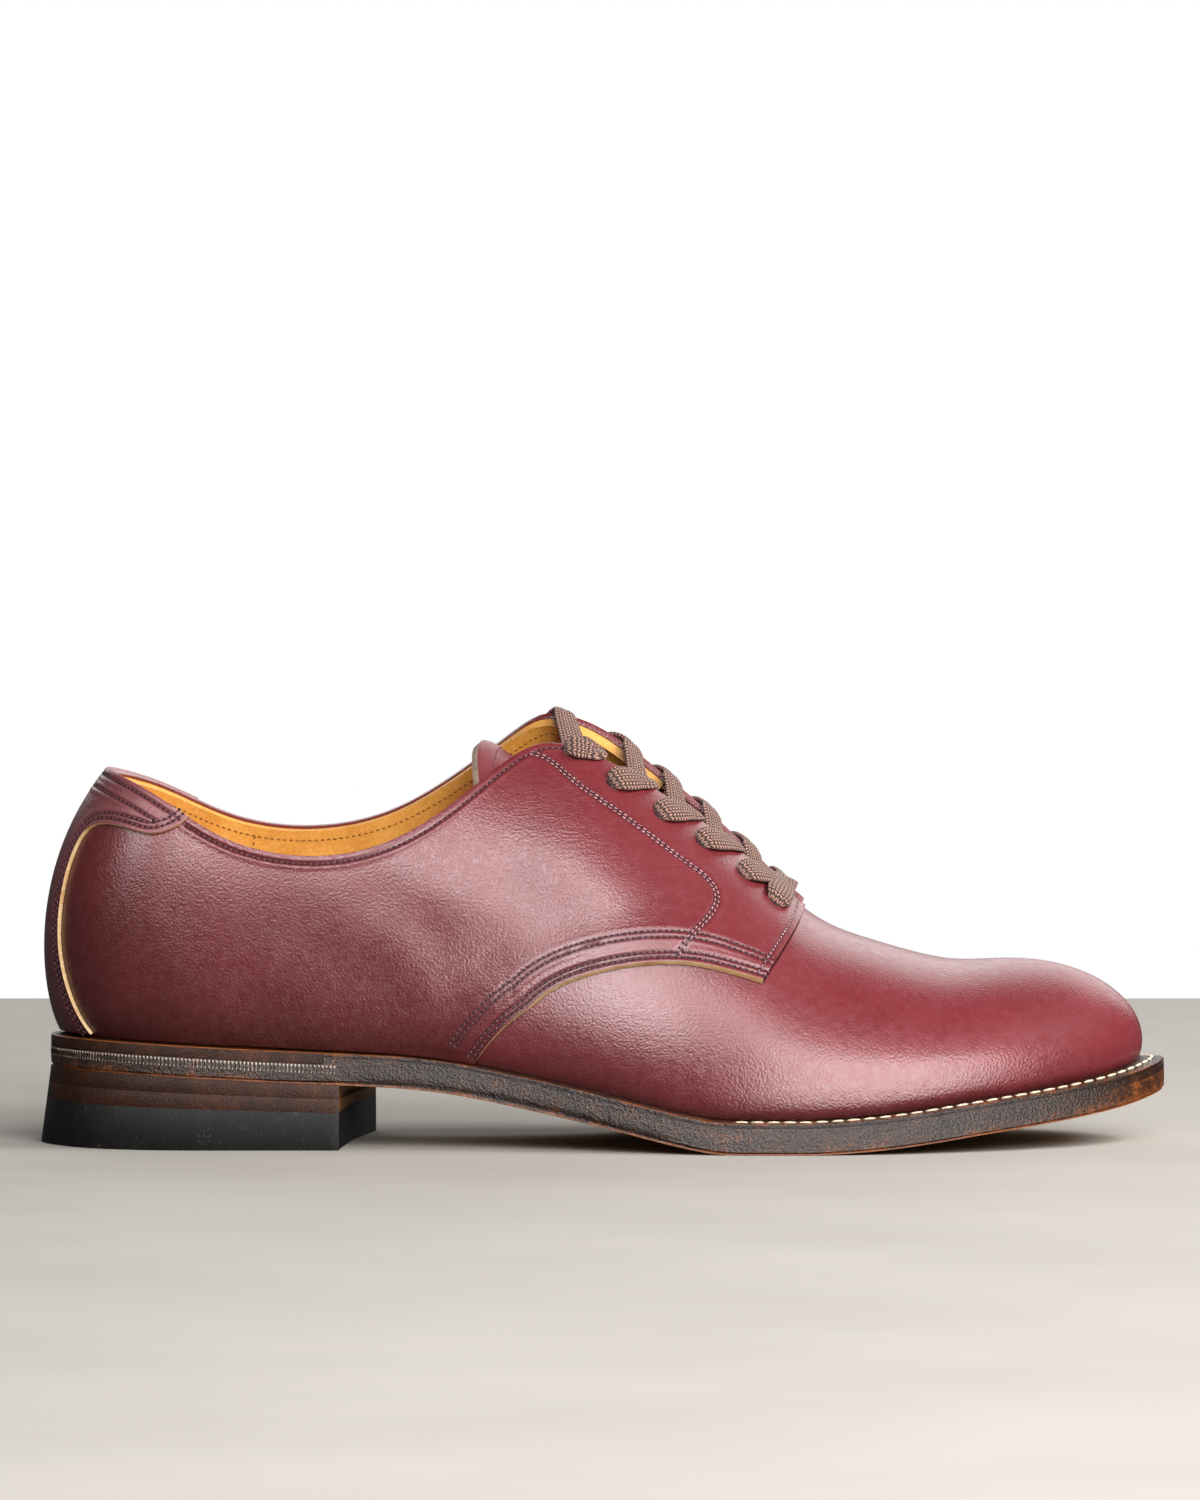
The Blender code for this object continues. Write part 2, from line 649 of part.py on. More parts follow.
def ribbon(path, normals):
    """Sections of a flat lace along a path, lying on the given normals."""
    path, normals = np.asarray(path), np.asarray(normals)
    along = np.gradient(path, axis=0)
    wide = np.cross(along, normals)
    wide /= np.linalg.norm(wide, axis=-1, keepdims=True)
    sections = []
    for point, side, up in zip(path, wide, normals):
        across = side * LACE_WIDTH / 2
        thick = up * LACE_THICKNESS / 2
        low, high = point - thick, point + thick
        sections.append([low - across, low + across, high + across, high - across])
    return sections


def lace_run(row, medial):
    """A run of lace over its own facing, from eyelet to edge, and where it meets the other facing."""
    station = (FIRST_EYELET - EYELET_PITCH * row) * LENGTH
    lift = 2 * SKIN_GAP + QUARTER + LACE_THICKNESS / 2
    p = top_rib(medial, station)
    edge = float(quarter_top(p))
    inset = EYELET_INSET_FIRST + (EYELET_INSET_LAST - EYELET_INSET_FIRST) * row / (EYELET_ROWS - 1)
    out = np.linspace(reach_down(p, inset, edge), edge, LACE_SECTIONS)
    points = skin(p, out, np.full(out.shape, lift))
    normals = skin(p, out, np.ones(out.shape)) - wall(p, out)
    other = top_rib(not medial, station + (LACE_SLANT if row else 0.0))
    far_edge = quarter_top(other)
    far = skin(other, far_edge, lift)
    far_up = skin(other, far_edge, 1.0) - wall(other, far_edge)
    return list(points), list(normals), far, far_up


def make_lace(shoe, row):
    """The bar across the first eyelets, or one crossing of the two runs of lace, joined into one solid."""
    runs = [lace_run(row, medial) for medial in (False, True)]
    if row == 0:
        path = runs[0][0] + [(runs[0][0][-1] + runs[1][0][-1]) / 2] + runs[1][0][::-1]
        normals = runs[0][1] + [runs[0][1][-1] + runs[1][1][-1]] + runs[1][1][::-1]
        normals = [n / np.linalg.norm(n) for n in normals]
        return plate(shoe, "lace_bar", ribbon(path, normals), "lace")
    pieces = []
    for points, normals, far, far_up in runs:
        near, up = points[-1], normals[-1]
        for dip in LACE_DIP:
            normals = normals + [up * (1 - dip.share) + far_up * dip.share]
            points = points + [near + (far - near) * dip.share - np.array([0, 0, dip.drop])]
        normals = [n / np.linalg.norm(n) for n in normals]
        pieces.append(loft("run", ribbon(points, normals), around=True, capped=True))
    name = f"lace_cross_{row + 1}"
    made = shoe(name, pieces[0], "lace")
    other = bpy.data.objects.new(f"{name}_other_run", pieces[1])
    other.hide_render = True
    other.display_type = "WIRE"
    other.parent = made.parent
    shoe.cutters.objects.link(other)
    joined = made.modifiers.new("join", "BOOLEAN")
    joined.operation = "UNION"
    joined.object = other
    return made


class Shoe:
    """Puts each piece in the shoe's collection, under one empty that centres the frame."""

    def __init__(self):
        self.collection = bpy.data.collections.new("service_shoe")
        self.cutters = bpy.data.collections.new("cutters")
        for made in (self.collection, self.cutters):
            bpy.context.scene.collection.children.link(made)
        edge = sole_outline(every_rib)
        back = edge[:, 0].min() - BACK_FLARE
        middle = (edge[:, 0].max() + back) / 2, (edge[:, 1].max() + edge[:, 1].min()) / 2
        self.frame = bpy.data.objects.new("frame", None)
        self.frame.location = (-middle[0] * MM, -middle[1] * MM, 0.0)
        self.collection.objects.link(self.frame)
        self.finishes = {
            "vamp": material("burgundy_vamp", (0.145, 0.022, 0.030), 0.34),
            "quarter": material("burgundy_quarter", (0.140, 0.021, 0.028), 0.34),
            "tongue": material("burgundy_tongue", (0.130, 0.022, 0.028), 0.4),
            "insole": material("tan_lining", (0.55, 0.27, 0.07), 0.6),
            "sole": material("dark_sole_edge", (0.045, 0.028, 0.020), 0.45),
            "lift": material("brown_heel_lift", (0.085, 0.035, 0.016), 0.45),
            "rubber": material("black_rubber", (0.020, 0.019, 0.018), 0.6),
            "lace": material("brown_lace", (0.16, 0.10, 0.07), 0.8),
        }

    def __call__(self, name, mesh, finish):
        made = new_object(name, mesh, self.finishes[finish], self.frame, self.collection)
        mesh.shade_smooth()
        mesh.set_sharp_from_angle(angle=math.radians(35))
        return made


def main():
    for old in list(bpy.data.objects):
        bpy.data.objects.remove(old)
    shoe = Shoe()
    make_upper(shoe)
    make_quarter(shoe, "quarter_lateral", False)
    make_quarter(shoe, "quarter_medial", True)
    make_strap(shoe)
    make_tongue(shoe)
    make_insole(shoe)
    make_outsole(shoe)
    lateral, medial = (rib_at(side, foot_x(every_rib), RAND_END * LENGTH) for side in (False, True))
    front = np.linspace(medial + PARTING, RING + lateral - PARTING, WELT_SECTIONS)
    back = np.linspace(lateral + PARTING, medial - PARTING, RAND_SECTIONS)
    make_strip(shoe, "welt", front, "sole")
    make_strip(shoe, "heel_rand", back, "lift")
    make_heel_layer(shoe, "heel_lift_upper", LOWER_LIFT_SHARE, 1.0, "lift")
    make_heel_layer(shoe, "heel_lift_lower", TOP_PIECE_SHARE, LOWER_LIFT_SHARE, "lift")
    make_heel_layer(shoe, "heel_top_piece", 0.0, TOP_PIECE_SHARE, "rubber")
    for row in range(EYELET_ROWS):
        make_lace(shoe, row)


main()
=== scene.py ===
# Right-foot derby service shoe: burgundy calf, tan lining, flat braided lace, welted sole, stacked heel
import math

import bpy
import numpy as np
from mathutils.kdtree import KDTree
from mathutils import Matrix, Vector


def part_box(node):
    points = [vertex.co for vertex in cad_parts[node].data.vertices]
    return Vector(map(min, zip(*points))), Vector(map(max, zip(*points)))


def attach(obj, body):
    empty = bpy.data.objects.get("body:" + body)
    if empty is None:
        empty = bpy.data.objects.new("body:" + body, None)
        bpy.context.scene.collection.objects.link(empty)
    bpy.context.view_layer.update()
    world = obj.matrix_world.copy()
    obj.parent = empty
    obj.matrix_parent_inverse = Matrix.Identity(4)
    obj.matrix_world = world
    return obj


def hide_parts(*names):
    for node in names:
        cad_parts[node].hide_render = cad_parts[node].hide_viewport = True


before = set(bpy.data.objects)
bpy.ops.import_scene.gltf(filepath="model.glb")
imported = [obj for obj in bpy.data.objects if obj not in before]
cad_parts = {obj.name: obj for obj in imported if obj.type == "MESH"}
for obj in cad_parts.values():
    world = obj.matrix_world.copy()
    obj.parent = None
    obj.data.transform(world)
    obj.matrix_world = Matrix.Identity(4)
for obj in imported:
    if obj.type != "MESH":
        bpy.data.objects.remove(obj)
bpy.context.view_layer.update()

mm = 0.001
nearlyAll = 0.9999  # from here on a share counts as the whole
rng = np.random.default_rng(11)


# the last: the same tables as the solids, in millimetres from the back of the heel
lastShape = {
    "length": 300.0, "ballWidth": 104.0, "instepHeight": 112.0, "heelHeight": 20.4, "toeSpring": 13.8,
    "outsole": 5.4, "welt": 3.0, "gap": 0.3, "lower": 0.22, "startAngle": math.radians(25.0),
    "ribs": (  # along, lateral, medial, ridge, swell lateral and medial, widest, sole edge lateral and medial
        (0.974, -0.036, 0.036, 0.864, 2.0, 2.0, 6.1, 7.8, 7.8),
        (0.950, 0.130, 0.196, 0.855, 2.0, 2.0, 6.6, 7.7, 7.7),
        (0.900, 0.252, 0.296, 0.830, 2.1, 2.1, 7.5, 7.5, 7.4),
        (0.817, 0.361, 0.377, 0.775, 2.2, 2.2, 9.0, 7.4, 7.2),
        (0.723, 0.424, 0.407, 0.709, 2.3, 2.3, 10.5, 7.4, 6.9),
        (0.627, 0.435, 0.371, 0.632, 2.6, 2.8, 12.5, 7.3, 6.3),
        (0.533, 0.392, 0.293, 0.552, 3.2, 4.0, 15.0, 6.3, 5.2),
        (0.433, 0.321, 0.242, 0.468, 3.8, 5.0, 18.0, 5.3, 4.9),
        (0.317, 0.281, 0.254, 0.374, 3.8, 4.6, 20.0, 5.3, 5.3),
        (0.190, 0.275, 0.269, 0.282, 4.0, 4.2, 21.5, 5.6, 5.6),
        (0.083, 0.232, 0.232, 0.218, 4.6, 4.6, 22.5, 5.8, 5.8),
        (0.0297, 0.0, 0.0, 0.206, 5.0, 5.0, 22.7, 6.2, 6.2)),
    "ridge": (  # along, offset to the medial side, height
        (0.206, 0.0, 1.054), (0.300, 5.0, 1.049), (0.400, 9.8, 1.026), (0.455, 12.0, 1.010),
        (0.490, 12.3, 0.976), (0.540, 11.8, 0.880), (0.590, 10.8, 0.768), (0.640, 9.2, 0.645),
        (0.680, 7.8, 0.551), (0.700, 7.2, 0.517), (0.735, 6.4, 0.481), (0.775, 5.6, 0.450),
        (0.810, 4.9, 0.432), (0.864, 4.0, 0.434)),
    "treadBack": 0.613,
    "soleBack": (  # along, share of the heel height
        (0.0, 1.0), (0.150, 0.917), (0.270, 0.833), (0.355, 0.745), (0.410, 0.605), (0.460, 0.452),
        (0.517, 0.262), (0.567, 0.090), (0.613, 0.0)),
    "soleFront": (  # along, share of the toe spring
        (0.683, 0.0), (0.742, 0.080), (0.827, 0.325), (0.890, 0.515), (0.937, 0.675), (0.970, 0.820), (1.0, 1.0)),
    "collar": (  # along, top line height lateral and medial
        (0.066, 98.0, 98.0), (0.100, 93.6, 94.6), (0.160, 82.6, 86.4), (0.210, 77.7, 83.0),
        (0.260, 76.9, 83.2), (0.310, 80.2, 87.0), (0.360, 88.4, 95.2), (0.400, 97.6, 103.6),
        (0.440, 106.3, 111.6), (0.480, 114.0, 118.0)),
    "facing": (  # along, facing edge across the shoe, lateral and medial
        (0.440, -11.5, 15.0), (0.540, -9.3, 13.2), (0.600, -7.3, 11.6), (0.680, -4.0, 9.0)),
    "facingBegins": 0.40, "facingCorner": 0.06, "throat": 0.677, "vampTab": 0.033, "throatRound": 0.02,
}
length = lastShape["length"]
heelBack = len(lastShape["ribs"]) - 1
ringTurn = 2 * heelBack


def cubic(xs, ys, ends="free"):  # a smooth cubic through the points, with free, flat or looped ends
    xs, ys = np.asarray(xs, float), np.asarray(ys, float)
    count, step = len(xs), np.diff(xs)
    rise = np.diff(ys) / step
    rows, right = np.zeros((count, count)), np.zeros(count)
    for i in range(1, count - 1):
        rows[i, i - 1:i + 2] = 1 / step[i - 1], 2 / step[i - 1] + 2 / step[i], 1 / step[i]
        right[i] = 3 * (rise[i - 1] / step[i - 1] + rise[i] / step[i])
    if ends == "loop":
        rows[0, [-2, 0, 1]] = 1 / step[-1], 2 / step[-1] + 2 / step[0], 1 / step[0]
        right[0] = 3 * (rise[-1] / step[-1] + rise[0] / step[0])
        rows[-1, [0, -1]] = 1, -1
    elif ends == "flat":
        rows[0, 0] = rows[-1, -1] = 1
    else:
        rows[0, :2], rows[-1, -2:] = (2, 1), (1, 2)
        right[0], right[-1] = 3 * rise[0], 3 * rise[-1]
    slopes = np.linalg.solve(rows, right)

    def value(x):
        x = np.asarray(x, float)
        x = np.mod(x - xs[0], xs[-1] - xs[0]) + xs[0] if ends == "loop" else np.clip(x, xs[0], xs[-1])
        i = np.clip(np.searchsorted(xs, x, side="right") - 1, 0, count - 2)
        t = (x - xs[i]) / step[i]
        held = ys[i] * (1 + 2 * t) * (1 - t) ** 2 + ys[i + 1] * t ** 2 * (3 - 2 * t)
        return held + step[i] * (slopes[i] * t * (1 - t) ** 2 - slopes[i + 1] * t ** 2 * (1 - t))

    return value


def unit(vectors):
    return vectors / np.linalg.norm(vectors, axis=-1, keepdims=True)


def wayAlong(points):  # distance along a line of points, from its first
    return np.concatenate([[0], np.linalg.norm(np.diff(points, axis=0), axis=1).cumsum()])


def bell(away, width):  # 1 in the middle, falling off to nothing within a few widths
    return np.exp(-(away / width) ** 2)


def ramp(values, start, run):  # 0 up to start, 1 from start + run on; a negative run goes the other way
    return np.clip((values - start) / run, 0, 1)


def ringColumn(lateral, medial, scale=1.0, turnLateral=1.0):  # a column down the lateral ribs and back up the medial
    ribs = np.array(lastShape["ribs"])
    column = np.concatenate([ribs[:, lateral] * turnLateral, ribs[-2::-1, medial]])
    return cubic(range(ringTurn + 1), column * scale, "loop")


def byStation(table, column, scale=1.0, ends="free"):
    rows = np.array(lastShape[table])
    return cubic(rows[:, 0] * length, rows[:, column] * scale, ends)


footX, ridgeX = ringColumn(0, 0, length), ringColumn(3, 3, length)
footY = ringColumn(1, 2, lastShape["ballWidth"], -1.0)  # the lateral side lies towards -Y
swell, widest, soleEdge = ringColumn(4, 5), ringColumn(6, 6), ringColumn(7, 8)
ridgeY = byStation("ridge", 1, 1.0, "flat")
ridgeZ = byStation("ridge", 2, lastShape["instepHeight"], "flat")
soleBack = byStation("soleBack", 1, lastShape["heelHeight"], "flat")
soleFront = byStation("soleFront", 1, lastShape["toeSpring"])
collarLateral, collarMedial = byStation("collar", 1), byStation("collar", 2)
facingLateral, facingMedial = byStation("facing", 1), byStation("facing", 2)


def soleBottom(x):
    x = np.asarray(x, float)
    return np.maximum(np.where(x < lastShape["treadBack"] * length, soleBack(x), soleFront(x)), 0.0)


def outsoleTop(x):
    return soleBottom(x) + lastShape["outsole"]


def weltTop(x):
    return outsoleTop(x) + lastShape["gap"] + lastShape["welt"]


def wall(p, turn):  # outer face of the upper: p counts ribs round the shoe, turn runs up a rib from 0 to 1
    p, turn = np.broadcast_arrays(np.asarray(p, float), np.asarray(turn, float))
    start, lower = lastShape["startAngle"], lastShape["lower"]
    foot = np.stack([footX(p), footY(p)], -1)
    topX = ridgeX(p)
    across = np.stack([topX, ridgeY(topX)], -1) - foot
    reach = np.linalg.norm(across, axis=-1)
    low = start + (math.pi / 2 - start) * np.clip(turn / lower, 0, 1)
    high = math.pi / 2 * np.clip((turn - lower) / (1 - lower), 0, 1)
    out = swell(p) * (np.sin(low) - math.sin(start)) / (1 - math.sin(start))
    inward = (reach + swell(p)) * (1 - np.cos(high)) - out
    xy = foot + across * (inward / reach)[..., None]
    widestZ = weltTop(foot[..., 0]) + lastShape["gap"] + widest(p)
    lowZ = widestZ - widest(p) * np.cos(low) / math.cos(start)
    z = lowZ + (ridgeZ(xy[..., 0]) - widestZ) * np.sin(high)
    return np.concatenate([xy, z[..., None]], -1)


def outward(p, turn):  # unit normal of the upper's outer face
    small = 1e-3
    up = wall(p, np.clip(turn + small, 0, 1)) - wall(p, np.clip(turn - small, 0, 1))
    return unit(np.cross(up, wall(p + small, turn) - wall(p - small, turn)))


def skin(p, turn, lift):
    p, turn = np.broadcast_arrays(np.asarray(p, float), np.asarray(turn, float))
    return wall(p, turn) + outward(p, turn) * np.asarray(lift, float)[..., None]


def turnWhere(p, passed, halvings=26):  # the lowest turn on each rib where passed becomes true
    low, high = np.full(p.shape, lastShape["lower"]), np.ones(p.shape)
    for _ in range(halvings):
        middle = (low + high) / 2
        beyond = passed(wall(p, middle))
        low, high = np.where(beyond, low, middle), np.where(beyond, middle, high)
    return high


def findQuarterTop(p):  # turn of the quarter's upper edge: top line at the back, lace facing in front
    medial = p > heelBack

    def overCollar(point):
        x = point[..., 0]
        return point[..., 2] > np.where(medial, collarMedial(x), collarLateral(x))

    def overFacing(point):
        x, y = point[..., 0], point[..., 1]
        return (x > lastShape["facingBegins"] * length) & np.where(medial, y < facingMedial(x), y > facingLateral(x))

    corner = lastShape["facingCorner"]
    collar, facing = turnWhere(p, overCollar), turnWhere(p, overFacing)
    collar = np.where(footX(p) > lastShape["collar"][-1][0] * length, 1.0 + corner, collar)
    blend = np.clip(0.5 + 0.5 * (facing - collar) / corner, 0, 1)
    return facing + (collar - facing) * blend - corner * blend * (1 - blend)


topCut = {"perRib": 80, "rounding": 9.0, "roundReach": 24, "toeRibs": 3,  # rounds the facings' top corners
          "rise": 0.017, "riseAt": 6.93, "riseWidth": 0.17}  # the outer facing stands a little higher
everyRib = np.linspace(0, ringTurn, topCut["perRib"] * ringTurn + 1)
everyTop = findQuarterTop(everyRib) + topCut["rise"] * bell(everyRib - topCut["riseAt"], topCut["riseWidth"])
roundness = bell(np.arange(-topCut["roundReach"], topCut["roundReach"] + 1), topCut["rounding"])
rounded = slice(topCut["toeRibs"] * topCut["perRib"], -topCut["toeRibs"] * topCut["perRib"])
everyTop[rounded] = np.convolve(everyTop, roundness / roundness.sum(), "same")[rounded]
everyTopX = wall(everyRib, everyTop)[:, 0]


def quarterTop(p):
    return np.interp(np.mod(p, ringTurn), everyRib, everyTop)


def upperTop(p):  # in front of the throat the two sides of the vamp join along the ridge
    short = (lastShape["throat"] - lastShape["vampTab"]) * length - ridgeX(p)
    opened = np.sqrt(np.clip(short / (lastShape["throatRound"] * length), 0, 1))
    return 1 + (quarterTop(p) - 1) * opened


def locate(medial, x, z, tries=30):  # rib count and turn of the wall's point at a station and height, by short steps
    order = np.arange(heelBack + 1.0)
    p = np.interp(-x, -footX(order), order)
    p, turn, small = (ringTurn - p if medial else p), 0.5, 1e-4
    for _ in range(tries):
        here = wall(p, turn)[[0, 2]]
        byP = (wall(p + small, turn)[[0, 2]] - here) / small
        byTurn = (wall(p, turn + small)[[0, 2]] - here) / small
        change = np.linalg.solve(np.stack([byP, byTurn], -1), np.array([x, z]) - here)
        p += np.clip(change[0], -0.5, 0.5)
        turn = np.clip(turn + np.clip(change[1], -0.1, 0.1), 0.01, 0.99)
    return p, turn


def ribAt(medial, stations, x):  # the rib at which a line round the shoe reaches a station
    side = everyRib >= heelBack if medial else everyRib <= heelBack
    order = np.argsort(stations[side])
    return np.interp(x, stations[side][order], everyRib[side][order])


def topRib(medial, x):  # the rib that crosses the quarter's upper edge at a station
    return ribAt(medial, everyTopX, x)


def outline(p, outset):  # the feather edge in plan, moved out along its own normal
    small = 1e-3
    p = np.asarray(p, float)
    along = unit(np.stack([footX(p + small) - footX(p - small), footY(p + small) - footY(p - small)], -1))
    normal = np.stack([along[..., 1], -along[..., 0]], -1)
    return np.stack([footX(p), footY(p)], -1) - normal * np.asarray(outset, float)[..., None]


def reachDown(p, reach, start=1.0, samples=400):  # turn of the point a given way down a rib from start
    turns = np.linspace(start, lastShape["lower"], samples)
    return np.interp(reach, wayAlong(wall(p, turns)), turns)


def slide(p, turn, distance, steps=5):  # moves a line sideways on the wall, to its left seen from outside
    small = 1e-4
    distance = np.broadcast_to(np.asarray(distance, float), p.shape)
    for _ in range(steps):
        here = wall(p, turn)
        byP, byTurn = (wall(p + small, turn) - here) / small, (wall(p, turn + small) - here) / small
        side = np.cross(np.cross(byTurn, byP), np.gradient(here, axis=0))
        side *= (distance / steps / np.linalg.norm(side, axis=-1))[..., None]
        pp, tt, pt = (byP * byP).sum(-1), (byTurn * byTurn).sum(-1), (byP * byTurn).sum(-1)
        sp, st = (side * byP).sum(-1), (side * byTurn).sum(-1)
        p = p + (sp * tt - st * pt) / (pp * tt - pt * pt)
        turn = turn + (st * pp - sp * pt) / (pp * tt - pt * pt)
    return p, turn


def evenLine(p, turn, spacing, samples=900):  # points at an even spacing along a line on the wall
    order, fine = np.linspace(0, 1, len(p)), np.linspace(0, 1, samples)
    p, turn = cubic(order, p)(fine), cubic(order, turn)(fine)
    way = wayAlong(wall(p, turn))
    at = np.linspace(0, way[-1], max(2, round(way[-1] / spacing) + 1))
    return np.interp(at, way, p), np.interp(at, way, turn)


def evenly(values, points, pitch):  # values read off along a line of points at an even pitch
    way = wayAlong(points)
    return np.interp(np.arange(0, way[-1], pitch), way, values)


soleRim = outline(everyRib, soleEdge(everyRib))
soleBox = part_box("outsole")
shift = np.array([soleBox[1].x / mm - soleRim[:, 0].max(), (soleBox[0].y + soleBox[1].y) / mm / 2
                  - (soleRim[:, 1].max() + soleRim[:, 1].min()) / 2, 0.0])  # from the last to the frame
print("last ready, shifted by", shift.round(2))


# modelling helpers
def clearSelection():
    for piece in list(bpy.context.selected_objects):
        piece.select_set(False)


def pick(piece):
    clearSelection()
    piece.select_set(True)
    bpy.context.view_layer.objects.active = piece


def readPoints(piece):
    points = np.empty(len(piece.data.vertices) * 3)
    piece.data.vertices.foreach_get("co", points)
    return points.reshape(-1, 3)


def writePoints(piece, points):
    piece.data.vertices.foreach_set("co", ((points + shift) * mm).ravel())
    piece.data.update()


def addGrid(name, columns, rows, finishes):
    clearSelection()
    bpy.ops.mesh.primitive_grid_add(x_subdivisions=columns, y_subdivisions=rows, size=1.0)
    piece = bpy.context.object
    piece.name = piece.data.name = name
    for finish in finishes:
        piece.data.materials.append(finish)
    return piece


def applyModifier(piece, kind, **settings):
    pick(piece)
    modifier = piece.modifiers.new(kind.lower(), kind)
    for key, value in settings.items():
        setattr(modifier, key, value)
    bpy.ops.object.modifier_apply(modifier=modifier.name)


def closeUp(piece, distance=0.003, fill=False):  # merges doubled points and turns the faces outwards
    pick(piece)
    bpy.ops.object.mode_set(mode="EDIT")
    bpy.ops.mesh.select_all(action="SELECT")
    bpy.ops.mesh.remove_doubles(threshold=distance * mm)
    if fill:
        bpy.ops.mesh.fill_holes(sides=0)
    bpy.ops.mesh.dissolve_degenerate(threshold=1e-7)
    bpy.ops.mesh.select_all(action="SELECT")
    bpy.ops.mesh.normals_make_consistent(inside=False)
    bpy.ops.mesh.select_all(action="DESELECT")
    bpy.ops.object.mode_set(mode="OBJECT")


def soften(piece, degrees=40.0):
    pick(piece)
    bpy.ops.object.shade_smooth_by_angle(angle=math.radians(degrees))


def mark(piece, **marks):  # numbers for each point, for the materials
    for name, values in marks.items():
        layer = piece.data.attributes.new(name, "FLOAT", "POINT")
        layer.data.foreach_set("value", np.asarray(values, float).astype(np.float32))


def finishWhere(piece, index, chosen):  # gives the chosen faces another of the piece's materials
    for face in piece.data.polygons:
        if chosen(face):
            face.material_index = index


def roundEdges(piece, width, angle=50.0, material=-1):
    applyModifier(piece, "BEVEL", width=width * mm, segments=2, limit_method="ANGLE",
                  angle_limit=math.radians(angle), material=material)


def gridPlaces(piece):
    flat = readPoints(piece)
    return np.clip(flat[:, 0] + 0.5, 0, 1), np.clip(flat[:, 1] + 0.5, 0, 1), flat[:, 2] > -0.05


def settle(piece, slot, *nodes, soft=40.0):  # every piece is fixed to the one body
    soften(piece, soft)
    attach(piece, "root")
    if nodes:
        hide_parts(*nodes)


# materials: patterns are sized in millimetres
def hexColour(text):
    values = [int(text[i:i + 2], 16) / 255 for i in (1, 3, 5)]
    return tuple(c / 12.92 if c <= 0.04045 else ((c + 0.055) / 1.055) ** 2.4 for c in values) + (1.0,)


def addNode(tree, kind, inputs, stops=None, **settings):  # an input is a value, a hex colour, a node or (node, output)
    node = tree.nodes.new("ShaderNode" + kind)
    for key, value in settings.items():
        setattr(node, key, value)
    for key, value in inputs.items():
        link = value if isinstance(value, tuple) else (value, 0)
        if isinstance(link[0], bpy.types.Node):
            tree.links.new(link[0].outputs[link[1]], node.inputs[key])
        else:
            node.inputs[key].default_value = hexColour(value) if isinstance(value, str) else value
    if stops:
        elements = node.color_ramp.elements
        while len(elements) < len(stops):
            elements.new(0.5)
        for element, (place, colour) in zip(elements, stops):
            element.position, element.color = place, hexColour(colour)
    return node


def newMaterial(name):
    made = bpy.data.materials.new(name)
    made.use_nodes = True
    tree = made.node_tree
    tree.nodes.clear()
    coords = addNode(tree, "TexCoord", {})
    return made, tree, addNode(tree, "Mapping", {"Vector": (coords, "Object"), "Scale": (1 / mm,) * 3})


def finishMaterial(made, inputs):
    shader = addNode(made.node_tree, "BsdfPrincipled", inputs)
    addNode(made.node_tree, "OutputMaterial", {"Surface": shader})
    return made


# sizes in mm; pebbles and pores are drawn coarser than real ones, so that they show
calfGrain = {"cloud": 22.0, "mottle": 2.4, "pebble": 0.6, "pore": 0.32, "wrinkle": 0.6, "relief": 0.15,
             "drawn": (0.13, 0.13, 1.0), "lean": 0.25}  # wrinkles are drawn out along the shoe, leaning a little


def calfLeather(name, deep, middle, bright, roughness):
    # waxed burgundy calf: fine pebble grain, drawn wrinkles near the facings, a soft broad sheen
    made, tree, place = newMaterial(name)
    size = {key: 1 / calfGrain[key] for key in ("cloud", "mottle", "pebble", "pore", "wrinkle")}
    cloud = addNode(tree, "TexNoise", {"Vector": place, "Scale": size["cloud"], "Detail": 3.0, "Roughness": 0.55})
    mottle = addNode(tree, "TexNoise", {"Vector": place, "Scale": size["mottle"], "Detail": 3.0, "Roughness": 0.6})
    pebble = addNode(tree, "TexVoronoi", {"Vector": place, "Scale": size["pebble"]}, feature="SMOOTH_F1")
    pores = addNode(tree, "TexNoise", {"Vector": place, "Scale": size["pore"], "Detail": 2.0})
    drawn = addNode(tree, "Mapping", {"Vector": place, "Rotation": (0.0, calfGrain["lean"], 0.0),
                                      "Scale": calfGrain["drawn"]})
    wrinkle = addNode(tree, "TexNoise", {"Vector": drawn, "Scale": size["wrinkle"], "Detail": 1.5, "Distortion": 0.5})
    stretched = addNode(tree, "Attribute", {}, attribute_name="drawn")
    # the dark attribute is painted shade: by the welt, low on the waist, round the heel and in the stitch grooves
    dark = addNode(tree, "Attribute", {}, attribute_name="dark")
    crease = addNode(tree, "Math", {0: wrinkle, 1: (stretched, "Fac")}, operation="MULTIPLY")
    tone, height = 0.29, 0.0
    for source, share in ((cloud, 0.28), (mottle, 0.14), ((dark, "Fac"), -0.42)):
        tone = addNode(tree, "Math", {0: source, 1: share, 2: tone}, operation="MULTIPLY_ADD")
    for source, share in ((pebble, -1.2), (pores, 0.16), (crease, 1.1)):
        height = addNode(tree, "Math", {0: source, 1: share, 2: height}, operation="MULTIPLY_ADD")
    colour = addNode(tree, "ValToRGB", {"Fac": tone}, stops=((0.08, deep), (0.5, middle), (0.78, bright)))
    bump = addNode(tree, "Bump", {"Height": height, "Strength": 0.55, "Distance": calfGrain["relief"] * mm})
    gloss = addNode(tree, "MapRange", {"Value": mottle, "From Min": 0.3, "From Max": 0.7,
                                       "To Min": roughness - 0.05, "To Max": roughness + 0.08})
    return finishMaterial(made, {"Base Color": colour, "Roughness": gloss, "Normal": bump, "IOR": 1.5,
                                 "Specular IOR Level": 0.6, "Coat Weight": 0.15, "Coat Roughness": 0.24})


